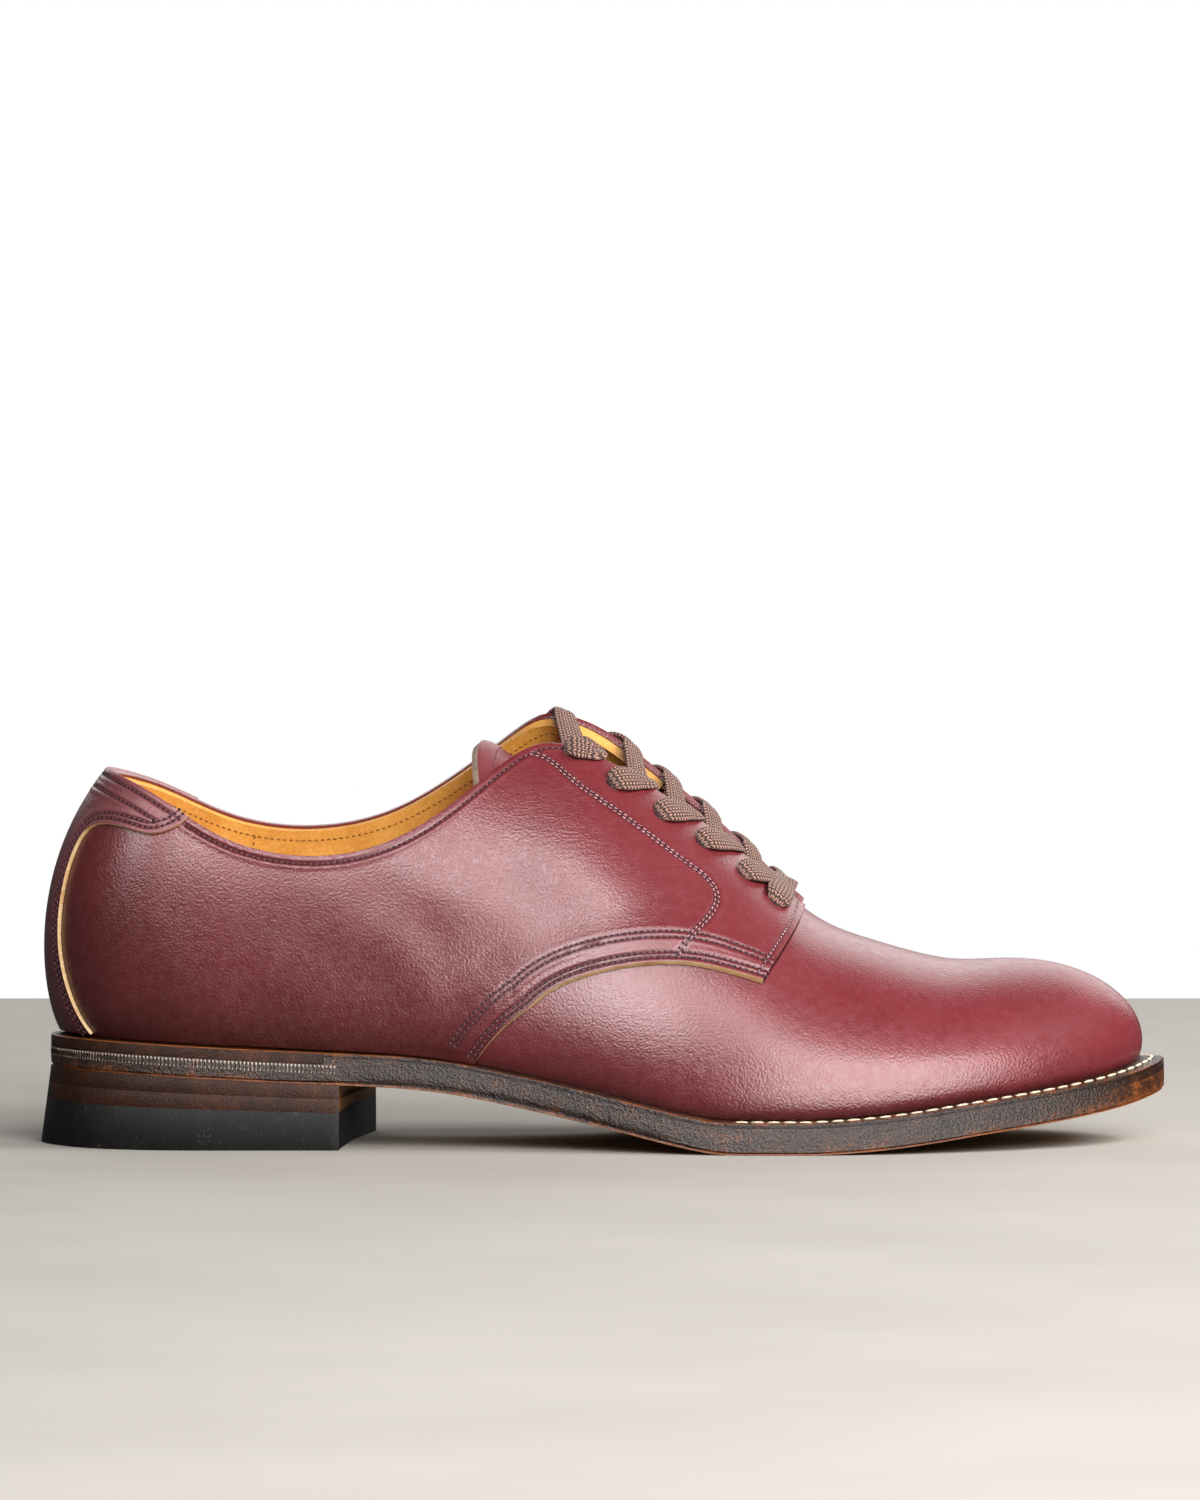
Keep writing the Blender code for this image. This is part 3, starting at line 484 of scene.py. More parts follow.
def plainLeather(name, dark, middle, bare, patch, grit, roughness, relief, shine=0.5):
    # undyed or dyed cut leather: cloudy colour, bare where the dye is rubbed off, fibrous grit in the relief
    made, tree, place = newMaterial(name)
    cloud = addNode(tree, "TexNoise", {"Vector": place, "Scale": 1 / patch, "Detail": 5.0, "Roughness": 0.65})
    fibre = addNode(tree, "TexNoise", {"Vector": place, "Scale": 1 / grit, "Detail": 3.0, "Roughness": 0.7})
    rubbed = addNode(tree, "Attribute", {}, attribute_name="rubbed")
    tone = 0.0
    for source, share in ((fibre, 0.45), (cloud, 0.55), ((rubbed, "Fac"), 0.3)):
        tone = addNode(tree, "Math", {0: source, 1: share, 2: tone}, operation="MULTIPLY_ADD")
    colour = addNode(tree, "ValToRGB", {"Fac": tone}, stops=((0.38, dark), (0.58, middle), (0.76, bare)))
    bump = addNode(tree, "Bump", {"Height": fibre, "Strength": 0.7, "Distance": relief * mm})
    return finishMaterial(made, {"Base Color": colour, "Roughness": roughness, "Normal": bump, "IOR": 1.5,
                                 "Specular IOR Level": shine})


def heelRubber(patch=5.0, grit=0.6):
    # black moulded rubber, dull, with grey scuffs and dust
    made, tree, place = newMaterial("mouldedRubber")
    cloud = addNode(tree, "TexNoise", {"Vector": place, "Scale": 1 / patch, "Detail": 6.0, "Roughness": 0.7})
    speck = addNode(tree, "TexNoise", {"Vector": place, "Scale": 1 / grit, "Detail": 2.0})
    tone = addNode(tree, "Math", {0: speck, 1: cloud}, operation="MULTIPLY")
    colour = addNode(tree, "ValToRGB", {"Fac": tone}, stops=((0.2, "#0E0D0C"), (0.36, "#191715"), (0.5, "#4A443E")))
    bump = addNode(tree, "Bump", {"Height": speck, "Strength": 0.4, "Distance": 0.12 * mm})
    return finishMaterial(made, {"Base Color": colour, "Roughness": 0.55, "Normal": bump, "Specular IOR Level": 0.25})


braidSize = {"rib": 1.0, "ribDepth": 0.1, "stitch": 1.1, "slant": 0.62, "fuzz": 0.35, "relief": 0.3}


def braidedCotton():
    # flat braid: lengthwise ribs of small slanting stitches, tan and dark brown threads by turns, coloured by their
    # height, so that the dark brown lies down in the furrows and between stitches as painted shade
    made, tree, place = newMaterial("braidedCotton")
    braid = addNode(tree, "UVMap", {}, uv_map="UVMap")  # along and across, in millimetres
    parts = addNode(tree, "SeparateXYZ", {"Vector": braid})
    rib = addNode(tree, "Math", {0: (parts, "Y"), 1: braidSize["rib"]}, operation="PINGPONG")  # 0 at a furrow
    roundRib = addNode(tree, "Math", {0: (parts, "Y"), 1: math.pi / braidSize["rib"]}, operation="MULTIPLY")
    roundRib = addNode(tree, "Math", {0: roundRib}, operation="SINE")
    roundRib = addNode(tree, "Math", {0: roundRib}, operation="ABSOLUTE")
    slant = addNode(tree, "Math", {0: rib, 1: braidSize["slant"], 2: (parts, "X")}, operation="MULTIPLY_ADD")
    thread = addNode(tree, "Math", {0: slant, 1: 2 * math.pi / braidSize["stitch"]}, operation="MULTIPLY")
    thread = addNode(tree, "Math", {0: thread}, operation="SINE")
    thread = addNode(tree, "Math", {0: thread, 1: 0.5, 2: 0.5}, operation="MULTIPLY_ADD")
    height = addNode(tree, "Math", {0: roundRib, 1: thread}, operation="MULTIPLY")
    fuzz = addNode(tree, "TexNoise", {"Vector": place, "Scale": 1 / braidSize["fuzz"], "Detail": 2.0})
    tone = addNode(tree, "Math", {0: fuzz, 1: 0.35, 2: height}, operation="MULTIPLY_ADD")
    # the colour follows the relief: painted shade in the furrows and between stitches
    colour = addNode(tree, "ValToRGB", {"Fac": tone},
                     stops=((0.16, "#1E110C"), (0.42, "#55372B"), (0.75, "#946A5A"), (1.0, "#B68978")))
    bump = addNode(tree, "Bump", {"Height": height, "Strength": 0.7, "Distance": braidSize["relief"] * mm})
    return finishMaterial(made, {"Base Color": colour, "Roughness": 0.82, "Normal": bump, "Sheen Weight": 0.15})


def spunThread(name, deep, light, ply=0.35):
    # waxed twisted thread: a slanting ply and a slight wax shine
    made, tree, place = newMaterial(name)
    twist = addNode(tree, "TexNoise", {"Vector": place, "Scale": 1 / ply, "Detail": 1.0})
    tone = addNode(tree, "ValToRGB", {"Fac": twist}, stops=((0.35, deep), (0.7, light)))
    bump = addNode(tree, "Bump", {"Height": twist, "Strength": 0.5, "Distance": 0.1 * mm})
    return finishMaterial(made, {"Base Color": tone, "Roughness": 0.65, "Normal": bump, "Specular IOR Level": 0.25})


# deep, middle and bright colour and roughness; cut leathers have patch and grit, roughness, relief and shine
upperCalf = calfLeather("waxedCalf", "#42120F", "#70272C", "#7E343A", 0.34)
tongueCalf = calfLeather("tongueCalf", "#461416", "#6C282D", "#7C363B", 0.44)
# the back strap's calf is lighter than the quarters': partly its own colour, partly painted light on the strap wing,
# which faces away from the lamps
strapCalfToneAndLight = calfLeather("strapCalfToneAndLight", "#562024", "#8A484C", "#9A5A5E", 0.42)
rawEdge = plainLeather("cutCalfEdge", "#C08C54", "#E8C894", "#F6E2BA", 6.0, 0.5, 0.6, 0.1)
suedeEdge = plainLeather("cutTongueEdge", "#7E6A58", "#A89680", "#BCAA92", 5.0, 0.4, 0.8, 0.12)
tanLining = plainLeather("liningLeather", "#D69036", "#EEB054", "#F8C674", 14.0, 0.8, 0.5, 0.06)
soleDyed = plainLeather("dyedSoleEdge", "#170D08", "#382014", "#8A4A1E", 6.0, 0.8, 0.3, 0.8, 0.45)
wheeledSole = plainLeather("wheeledSoleEdge", "#120C09", "#2E1F18", "#BCAA98", 7.0, 0.45, 0.36, 0.16, 0.4)
soleBare = plainLeather("tannedSole", "#8A6440", "#A87C50", "#B98A5A", 16.0, 0.7, 0.5, 0.1)
heelStack = plainLeather("stackedHeelLeather", "#1E0D05", "#3E1E0C", "#8C481C", 7.0, 0.5, 0.42, 0.3, 0.25)
heelBreast = plainLeather("heelBreastLeather", "#4E3316", "#6E4A22", "#8A602E", 7.0, 0.5, 0.6, 0.2, 0.25)
bareLine = plainLeather("rubbedJointLeather", "#6A3212", "#A0561F", "#CC7C34", 5.0, 0.5, 0.5, 0.1, 0.4)
# painted shade: the dark maroon of the quarters' front rim stands in for the shadow line along that edge
frontEdgeShade = plainLeather("shadedCalfEdgePaint", "#1E080A", "#34101A", "#4A1A22", 5.0, 0.5, 0.5, 0.08, 0.3)
topRubber = heelRubber()
laceBraid = braidedCotton()
# painted shade: a near-black maroon for the dark of the needle holes and the punched eyelets
holeShade = spunThread("paintedHoleShade", "#1C070C", "#4E2430")
roseThread = spunThread("roseThread", "#4A1E28", "#94626A")
mauveThread = spunThread("mauveThread", "#7A4450", "#E2C4CA")
liningThread = spunThread("tanThread", "#6A4018", "#B4803C")
weltThread = spunThread("waxedLinenThread", "#C8B594", "#F0E6D0")
print("materials ready")


# panels of the upper, laid on the last
def openRim(piece, outside, joined, merge=0.08):  # no rim where a panel's two sides meet: they are merged
    pick(piece)
    bpy.ops.object.mode_set(mode="EDIT")
    bpy.ops.mesh.select_all(action="DESELECT")
    bpy.ops.object.mode_set(mode="OBJECT")
    for face in piece.data.polygons:
        corners = list(face.vertices)
        face.select = bool(joined[corners].all() and outside[corners].any() and not outside[corners].all())
    bpy.ops.object.mode_set(mode="EDIT")
    bpy.ops.mesh.select_mode(type="FACE")
    bpy.ops.mesh.delete(type="ONLY_FACE")
    bpy.ops.mesh.select_mode(type="VERT")
    bpy.ops.object.mode_set(mode="OBJECT")
    closeUp(piece, merge)


def layPanel(name, cut, place, finishes, lift=None, marks=None, spread=None, meets=False):
    # a grid with a wall of its own, whose two faces are then laid on the last at their lifts
    piece = addGrid(name, cut["columns"], cut["rows"], finishes)
    applyModifier(piece, "SOLIDIFY", thickness=0.1, offset=-1.0, material_offset_rim=len(finishes) - 1)
    u, v, outside = gridPlaces(piece)
    p, turn, *drop = place(*(spread(u, v, outside) if spread else (u, v)))
    points = skin(p, turn, np.where(outside, lift(p, turn) if lift else cut["outside"], cut["inside"]))
    points[:, 2] -= sum(drop)
    writePoints(piece, points)
    if marks:
        mark(piece, **marks(p, turn))
    if meets:
        openRim(piece, outside, (v > nearlyAll) & (turn > nearlyAll))
    else:
        closeUp(piece)
    return piece


rimShare = {"top": 0.995, "front": 0.999}  # from here on a rim face belongs to that edge


def dyeRim(piece, front):  # the rim is dyed along the top line, and along the front edge, if there is one, it takes a dark painted shade
    uvs = np.zeros(len(piece.data.loops) * 2)
    piece.data.uv_layers[0].data.foreach_get("uv", uvs)
    corners = uvs.reshape(-1, 2)
    for face in piece.data.polygons:
        across, up = corners[face.loop_start:face.loop_start + face.loop_total].mean(0)
        if face.material_index and up > rimShare["top"]:
            face.material_index = 0
        elif face.material_index and front and across > rimShare["front"]:
            face.material_index = 1


def rowDistance(p, turn, rows, spacing=0.25):  # distance to the nearest row of stitches
    spots = np.concatenate([wall(*evenLine(*row, spacing)) for row in rows])
    tree = KDTree(len(spots))
    for i, point in enumerate(spots):
        tree.insert(point, i)
    tree.balance()
    return np.array([tree.find(point)[2] for point in wall(p, turn)])


seamRelief = {"depth": 0.26, "width": 0.5, "puff": 0.16, "puffAt": 1.0, "puffWidth": 0.7,
              "ridge": 0.95, "ridgeWidth": 5.0, "ridgeFrom": 106.0, "ridgeFade": 16.0,
              "creaseShoulder": 0.45, "shoulderAt": 1.7}


def creaseLift(p, turn, creases, medial):  # soft troughs with a low ridge on each side, fading out at both ends
    lift, points = np.zeros(p.shape), wall(p, turn)
    side = (p % ringTurn > heelBack) == medial
    for (x0, z0), (x1, z1), width, depth in creases:
        ends = np.array([wall(*locate(medial, x0, z0)), wall(*locate(medial, x1, z1))])
        run = ends[1] - ends[0]
        along = ((points - ends[0]) @ run) / (run @ run)
        away = np.linalg.norm(points - ends[0] - np.clip(along, 0, 1)[:, None] * run, axis=-1) / width
        shoulder = seamRelief["creaseShoulder"] * bell(away - seamRelief["shoulderAt"], 1.0)
        lift += side * depth * (shoulder - bell(away, 1.0))
    return lift


def seamLift(p, turn, rows):  # a row of stitches pulls the leather down and puffs it up beside the row
    distance = rowDistance(p, turn, rows)
    puff = seamRelief["puff"] * bell(distance - seamRelief["puffAt"], seamRelief["puffWidth"])
    return puff - seamRelief["depth"] * bell(distance, seamRelief["width"])


def ridgeLift(p, turn, row):  # the quarter rises to a soft ridge along its arched double row, over the vamp's end
    fade = ramp(wall(p, turn)[:, 0], seamRelief["ridgeFrom"], seamRelief["ridgeFade"])
    return seamRelief["ridge"] * fade * bell(rowDistance(p, turn, [row]), seamRelief["ridgeWidth"])


quarterCut = {
    "foot": 0.388, "hem": 0.015, "frontBow": 0.07, "frontSharpness": 4, "seam": 0.012, "inside": 0.3, "outside": 2.0,
    "edge": ((0.405, 30.0), (0.442, 39.6), (0.493, 47.2), (0.556, 49.8), (0.598, 48.2), (0.640, 44.4)),
    "columns": 250, "rows": 118, "middle": 0.52, "crowding": 0.45, "cut": 0.02, "frontCut": 0.003, "bevel": 0.28,
    "rowPoints": 90, "edgeFrom": 0.012, "edgeRows": (1.1, 2.4),
    "upperRows": (6.6, 8.1), "upperDrop": 1.7, "dropGrowth": 4,
    "collarRow": 2.1, "collarReach": (41.0, 139.0), "collarPoints": 140, "frontRow": 2.6, "frontReach": (0.05, 0.9),
    "facingLine": (  # ribs from the toe, share of the way up to the facing edge
        (7.107, 0.965), (6.763, 0.880), (6.374, 0.826), (5.968, 0.794), (5.697, 0.775), (5.483, 0.763),
        (5.345, 0.725), (5.384, 0.653), (5.545, 0.569), (5.672, 0.507)),
    "facingGap": 0.95, "pitch": 1.55,
    "creases": (  # from, to (station and height), half width, depth
        ((92.0, 66.0), (118.0, 50.0), 6.5, 0.20), ((112.0, 82.0), (138.0, 64.0), 8.0, 0.14),
        ((66.0, 58.0), (96.0, 42.0), 8.0, 0.16), ((128.0, 70.0), (150.0, 58.0), 6.0, 0.12),
        ((40.0, 62.0), (58.0, 44.0), 7.0, 0.10), ((104.0, 58.0), (112.0, 40.0), 5.0, 0.16)),
}


def quarterMap(medial):
    cut = quarterCut
    back = heelBack + (cut["seam"] if medial else -cut["seam"])
    footEnd = ribAt(medial, footX(everyRib), cut["foot"] * length)
    bendTop = topRib(medial, lastShape["facing"][0][0] * length)
    cornerTop = topRib(medial, lastShape["throat"] * length)
    bound = [(footEnd, cut["hem"])] + [locate(medial, along * length, height) for along, height in cut["edge"]]
    edgeP, edgeTurn = (cubic(np.linspace(0, 1, len(bound)), column) for column in zip(*bound))
    bow = cut["frontBow"] if medial else -cut["frontBow"]

    def place(u, v):
        v = v - cut["crowding"] * np.sin(2 * math.pi * v) / (2 * math.pi)  # rows lie closer along the two edges
        rear, front = np.clip(u / cut["middle"], 0, 1), np.clip((u - cut["middle"]) / (1 - cut["middle"]), 0, 1)
        inRear = u <= cut["middle"]
        footP = np.where(inRear, back + (footEnd - back) * rear, edgeP(front))
        footTurn = np.where(inRear, cut["hem"], edgeTurn(front))
        topP = np.where(inRear, back + (bendTop - back) * rear, bendTop + (cornerTop - bendTop) * front)
        footShare = footTurn / quarterTop(footP)
        p = footP + (topP - footP) * v + bow * front ** cut["frontSharpness"] * 4 * v * (1 - v)
        return p, (footShare + (1 - footShare) * v) * quarterTop(p)

    return place


def quarterSeams(medial, place):  # every row of stitches on one quarter, as lines on the last
    cut, side = quarterCut, (-1.0 if medial else 1.0)
    count = cut["rowPoints"]
    order = np.linspace(0, 1, count)
    lower = place(np.linspace(cut["middle"] + cut["edgeFrom"], 1.0, count), np.zeros(count))
    rows = [slide(*lower, side * offset) for offset in cut["edgeRows"]]
    drop = cut["upperDrop"] * order ** cut["dropGrowth"]
    rows += [slide(*lower, side * (offset - drop)) for offset in cut["upperRows"]]
    line = np.array(cut["facingLine"])
    fineP, fineShare = (cubic(np.linspace(0, 1, len(line)), column)(order) for column in line.T)
    fineP = ringTurn - fineP if medial else fineP
    for offset in (-cut["facingGap"] / 2, cut["facingGap"] / 2):
        rows.append(slide(fineP, fineShare * quarterTop(fineP), offset))
    topP = np.linspace(*(topRib(medial, x) for x in cut["collarReach"]), cut["collarPoints"])
    rows.append(slide(topP, quarterTop(topP), -side * cut["collarRow"]))  # under the top line
    front = place(np.ones(count), np.linspace(*cut["frontReach"], count))
    rows.append(slide(*front, side * cut["frontRow"]))  # beside the front edge
    return rows


def quarterSpread(u, v, outside):  # the lower and front edges are cut on a slope, so that they show
    low, front = ~outside & (v < 1e-6) & (u > quarterCut["middle"]), outside & (u > 1 - 1e-6)
    return u - quarterCut["frontCut"] * front, v - quarterCut["cut"] * low


leatherShadeAndWrinkles = {  # strength, then where: shares of the wall, or a station or height and the run over which it fades; welt, waist, heel, seam and vampWelt set painted shade, the rest drawn wrinkles
    "welt": 0.4, "weltShare": 0.10, "waist": 0.36, "waistShare": 0.3, "waistFrom": (150.0, -40.0),
    "heel": 0.36, "heelFrom": (100.0, -90.0), "heelUnder": (88.0, -30.0), "seam": 0.5, "seamWidth": 0.55,
    "instep": (148.0, 38.0), "instepOver": (40.0, 40.0),
    "vampWelt": 0.55, "vampShare": 0.08, "bend": 0.5, "bendAt": (205.0, 26.0), "bendOver": (0.25, 0.3),
    "flank": 0.8, "flankAt": (160.0, 34.0), "flankOver": (0.3, 0.2),
}


def bellAt(values, place):
    return bell(values - place[0], place[1])


def leatherMarks(p, turn, rows, stretch):  # painted shade: darker by the welt, low on the waist, round the heel and along the stitch grooves; drawn over the instep
    shadeAndWrinkles, (x, _, z) = leatherShadeAndWrinkles, wall(p, turn).T
    dark = shadeAndWrinkles["welt"] * bell(turn, shadeAndWrinkles["weltShare"])
    dark += shadeAndWrinkles["waist"] * bell(turn, shadeAndWrinkles["waistShare"]) * ramp(x, *shadeAndWrinkles["waistFrom"])
    dark += shadeAndWrinkles["heel"] * ramp(x, *shadeAndWrinkles["heelFrom"]) * ramp(z, *shadeAndWrinkles["heelUnder"])
    dark += shadeAndWrinkles["seam"] * bell(rowDistance(p, turn, rows), shadeAndWrinkles["seamWidth"])
    return {"dark": np.clip(dark, 0, 1), "drawn": stretch * bellAt(x, shadeAndWrinkles["instep"]) * ramp(z, *shadeAndWrinkles["instepOver"])}


def vampMarks(p, turn):  # painted shade darker by the welt; drawn over the toes' bend and on the flank
    shadeAndWrinkles, x = leatherShadeAndWrinkles, wall(p, turn)[:, 0]
    bend = shadeAndWrinkles["bend"] * bellAt(x, shadeAndWrinkles["bendAt"]) * ramp(turn, *shadeAndWrinkles["bendOver"])
    flank = shadeAndWrinkles["flank"] * bellAt(x, shadeAndWrinkles["flankAt"]) * bellAt(turn, shadeAndWrinkles["flankOver"])
    return {"dark": shadeAndWrinkles["vampWelt"] * bell(turn, shadeAndWrinkles["vampShare"]), "drawn": np.clip(bend + flank, 0, 1)}


def turned(places, up, skew):  # frames along a line of places, each stitch slanted by skew
    along = unit(np.gradient(places, axis=0))
    up = unit(np.cross(np.cross(along, up), along))
    return places, unit(along + np.cross(up, along) * skew), up


def rowFrames(row, lift, pitch, skew=0.0, start=0.0):  # start: share of a pitch before the first stitch
    p, turn = evenLine(*row, pitch / 2)
    p, turn = p[round(2 * start)::2], turn[round(2 * start)::2]
    return turned(skin(p, turn, lift(p, turn)), outward(p, turn), skew)


upperSeams = {"rose": [], "mauve": [], "holes": []}  # frames of every stitch on the upper, and of the pricks between, whose dark blobs are painted shade in the needle holes
threadSet = {"proud": 0.16, "prick": 0.14, "slant": 0.15}


def markRow(row, lift, pitch, thread):  # a stitch stands a little out of the groove that it pulls
    stitch, prick = (lambda p, turn, out=threadSet[key]: lift(p, turn) + out for key in ("proud", "prick"))
    upperSeams[thread].append(rowFrames(row, stitch, pitch, threadSet["slant"]))
    upperSeams["holes"].append(rowFrames(row, prick, pitch, 0.0, 0.5))


for medial, side in ((False, "lateral"), (True, "medial")):
    place = quarterMap(medial)
    rows = quarterSeams(medial, place)

    def quarterLift(p, turn):
        return (quarterCut["outside"] + seamLift(p, turn, rows) + ridgeLift(p, turn, rows[3])
                + creaseLift(p, turn, quarterCut["creases"], medial))

    quarter = layPanel("quarter_" + side + "_panel", quarterCut, place, (upperCalf, frontEdgeShade, rawEdge), quarterLift,
                       lambda p, turn: leatherMarks(p, turn, rows, 1.0), quarterSpread)
    dyeRim(quarter, True)
    roundEdges(quarter, quarterCut["bevel"])
    settle(quarter, "quarter_leather", "quarter_" + side)
    for row, thread in zip(rows, ["rose"] * 4 + ["mauve"] * 2 + ["rose", "mauve"]):
        markRow(row, quarterLift, quarterCut["pitch"], thread)
print("quarters laid")

strapCut = {
    "edge": ((0.70, 0.05), (0.58, 0.20), (0.465, 0.39), (0.435, 0.55), (0.44, 0.67), (0.515, 0.775), (0.74, 0.825),
             (1.02, 0.843), (1.22, 0.868), (1.37, 0.930)),  # ribs from the back seam, share of the wall
    "tip": 0.137, "inside": 2.05, "outside": 3.05, "columns": 110, "rows": 150, "bevel": 0.25, "pitch": 1.5,
    "edgeRows": (1.5, 2.9), "edgeReach": (0.02, 0.985), "rowPoints": 160,
    "topRows": ((1.9, 0.97), (5.6, 0.86)),  # way down from the top line, share of the strap's width
}


def strapMap():
    order = np.linspace(0, 1, len(strapCut["edge"]) + 1)
    ribs, shares = zip(*strapCut["edge"])
    lateral, medial = (cubic(order, [*ribs, abs(topRib(inner, strapCut["tip"] * length) - heelBack)])
                       for inner in (False, True))
    share = cubic(order, [*shares, 1.0])

    def place(u, v):
        across = 2 * u - 1
        p = heelBack + np.where(across < 0, across * lateral(v), across * medial(v))
        return p, np.clip(share(v), 0, 1) * quarterTop(p)

    return place


strapPlace = strapMap()
strapRows, count = [], strapCut["rowPoints"]
for u, side in ((0.0, 1.0), (1.0, -1.0)):
    edgeLine = strapPlace(np.full(count, u), np.linspace(*strapCut["edgeReach"], count))
    strapRows += [slide(*edgeLine, side * offset) for offset in strapCut["edgeRows"]]
for offset, reach in strapCut["topRows"]:
    strapRows.append(slide(*strapPlace(np.linspace(0.5 - reach / 2, 0.5 + reach / 2, count), np.ones(count)), offset))


def strapLift(p, turn):
    return strapCut["outside"] + seamLift(p, turn, strapRows)


strap = layPanel("back_strap_panel", strapCut, strapPlace, (strapCalfToneAndLight, rawEdge), strapLift,
                 lambda p, turn: leatherMarks(p, turn, strapRows, 0.0))
dyeRim(strap, False)
roundEdges(strap, strapCut["bevel"])
settle(strap, "quarter_leather", "back_strap")
for row in strapRows:
    markRow(row, strapLift, strapCut["pitch"], "rose")
print("back strap laid")

vampCut = {"ribs": 7.9, "inside": -1.0, "outside": 0.0, "columns": 320, "rows": 90,
           "tuck": 0.03, "lowest": 0.3, "rowGrowth": 1.15}
vampLiningCut = {"ribs": 5.9, "inside": -2.2, "outside": -1.06, "columns": 140, "rows": 40}


def vampMap(ribs):  # the toe's two sides meet along the ridge, and behind it the vamp is tucked under the quarters
    def place(u, v):
        p = (2 * u - 1) * ribs
        top = upperTop(p)
        top = np.where(top < nearlyAll, np.maximum(top - vampCut["tuck"], vampCut["lowest"]), 1.0)
        return p, v ** vampCut["rowGrowth"] * top

    return place


vamp = layPanel("vamp_panel", vampCut, vampMap(vampCut["ribs"]), (upperCalf, rawEdge), marks=vampMarks, meets=True)
settle(vamp, "vamp_leather", "upper")
vampLining = layPanel("vamp_lining", vampLiningCut, vampMap(vampLiningCut["ribs"]), (tanLining,), meets=True)
settle(vampLining, "tan_lining", "upper")

liningCut = {"from": 5.95, "inside": -2.2, "under": -1.06, "high": 0.2, "lower": 0.006, "columns": 230, "rows": 70,
             "heelRibs": (2.95, -0.15), "rim": 0.024}


def liningMap(u, v):
    p = liningCut["from"] + (ringTurn - 2 * liningCut["from"]) * u
    return p, v * (quarterTop(p) - liningCut["lower"])


def liningHigh(p, turn):  # thinner where the vamp lies between lining and quarter
    behind = ramp(np.abs(p - heelBack), *liningCut["heelRibs"])
    over = turn > quarterTop(p) - liningCut["rim"]
    return liningCut["under"] + (liningCut["high"] - liningCut["under"]) * np.maximum(behind, over)


quarterLining = layPanel("quarter_lining", liningCut, liningMap, (tanLining,), liningHigh)
settle(quarterLining, "tan_lining", "upper")
print("vamp and linings laid")

tongueCut = {
    "top": 0.395, "foot": 0.705, "reachTop": (34.0, 17.0), "reachFoot": (20.0, 15.0), "outside": -3.7, "inside": -5.3,
    "skew": 9.0, "skewSpread": 1.3, "skewGrowth": 4, "slant": 0.013, "drawn": 0.3, "columns": 60, "rows": 90,
    "bevel": 0.3,
    "row": 4.5, "rowReach": (0.03, 0.97), "pitch": 1.6, "rowSlant": 0.1,
    "sink": ((118.5, 4.6), (121.0, 5.2), (126.0, 8.3), (133.0, 8.6), (142.0, 7.2), (150.0, 5.4), (165.0, 3.4),
             (180.0, 2.0), (195.0, 0.6), (211.0, 0.0)),  # station, drop under the facings
}
tongueSink = cubic(*np.array(tongueCut["sink"]).T)


def tonguePlace(u, v):
    p, turn, away = np.zeros(u.shape), np.zeros(u.shape), np.abs(2 * u - 1)
    x = (tongueCut["foot"] + (tongueCut["top"] - tongueCut["foot"]) * v) * length
    back = away ** tongueCut["skewSpread"] * np.clip(v, 0, 1) ** tongueCut["skewGrowth"]
    x = x + tongueCut["skew"] * back  # the sides of the end are cut back
    ridge = ridgeX(everyRib)
    for s in np.unique(v):
        for medial in (False, True):
            half = (v == s) & ((u > 0.5) if medial else (u <= 0.5))
            if not half.any():
                continue
            foot, top = tongueCut["reachFoot"][medial], tongueCut["reachTop"][medial]
            low = reachDown(ribAt(medial, ridge, x[half].mean()), foot + (top - foot) * s)
            p[half] = ribAt(medial, ridge, x[half])
            turn[half] = low + (1 - low) * (1 - away[half])
    return p, turn, tongueSink(x)


def tongueSpread(u, v, outside):  # the cut end slopes, so that its edge shows
    return u, v + tongueCut["slant"] * (~outside & (v > nearlyAll))


tongue = layPanel("tongue_panel", tongueCut, tonguePlace, (tongueCalf, suedeEdge), spread=tongueSpread,
                  marks=lambda p, turn: {"drawn": np.full(p.shape, tongueCut["drawn"])})
roundEdges(tongue, tongueCut["bevel"])
settle(tongue, "tongue_leather", "tongue")
print("tongue laid")


# one small stitch, copied along every row
def oneStitch(size, segments):
    clearSelection()
    bpy.ops.mesh.primitive_uv_sphere_add(segments=segments, ring_count=4, radius=0.5)
    piece = bpy.context.object
    bpy.ops.object.mode_set(mode="EDIT")
    bpy.ops.mesh.select_all(action="SELECT")
    bpy.ops.transform.rotate(value=math.pi / 2, orient_axis="Y", center_override=(0, 0, 0))
    bpy.ops.transform.resize(value=size, center_override=(0, 0, 0))
    bpy.ops.object.mode_set(mode="OBJECT")
    points, faces = readPoints(piece), [tuple(face.vertices) for face in piece.data.polygons]
    bpy.data.objects.remove(piece)
    return points, faces


def sew(name, frames, size, thread, slot, jitter=0.04, segments=6):  # frames: places, directions along the row, and up
    shape, faces = oneStitch(size, segments)
    places, along, up = (np.concatenate(part) for part in zip(*frames))
    wide = np.cross(up, along)
    count = len(places)
    stretch = 1 + jitter * rng.standard_normal((count, 1, 1))
    points = (places[:, None] + along[:, None] * shape[None, :, :1] * stretch + wide[:, None] * shape[None, :, 1:2]
              + up[:, None] * shape[None, :, 2:3])
    everyFace = [tuple(i + k * len(shape) for i in face) for k in range(count) for face in faces]
    mesh = bpy.data.meshes.new(name)
    mesh.from_pydata(((points.reshape(-1, 3) + shift) * mm).tolist(), [], everyFace)
    piece = bpy.data.objects.new(name, mesh)
    bpy.context.scene.collection.objects.link(piece)
    mesh.materials.append(thread)
    closeUp(piece, 0.0001)  # so little that neighbouring stitches stay apart
    settle(piece, slot, soft=60.0)
    print(name, "sewn:", len(mesh.polygons), "faces")


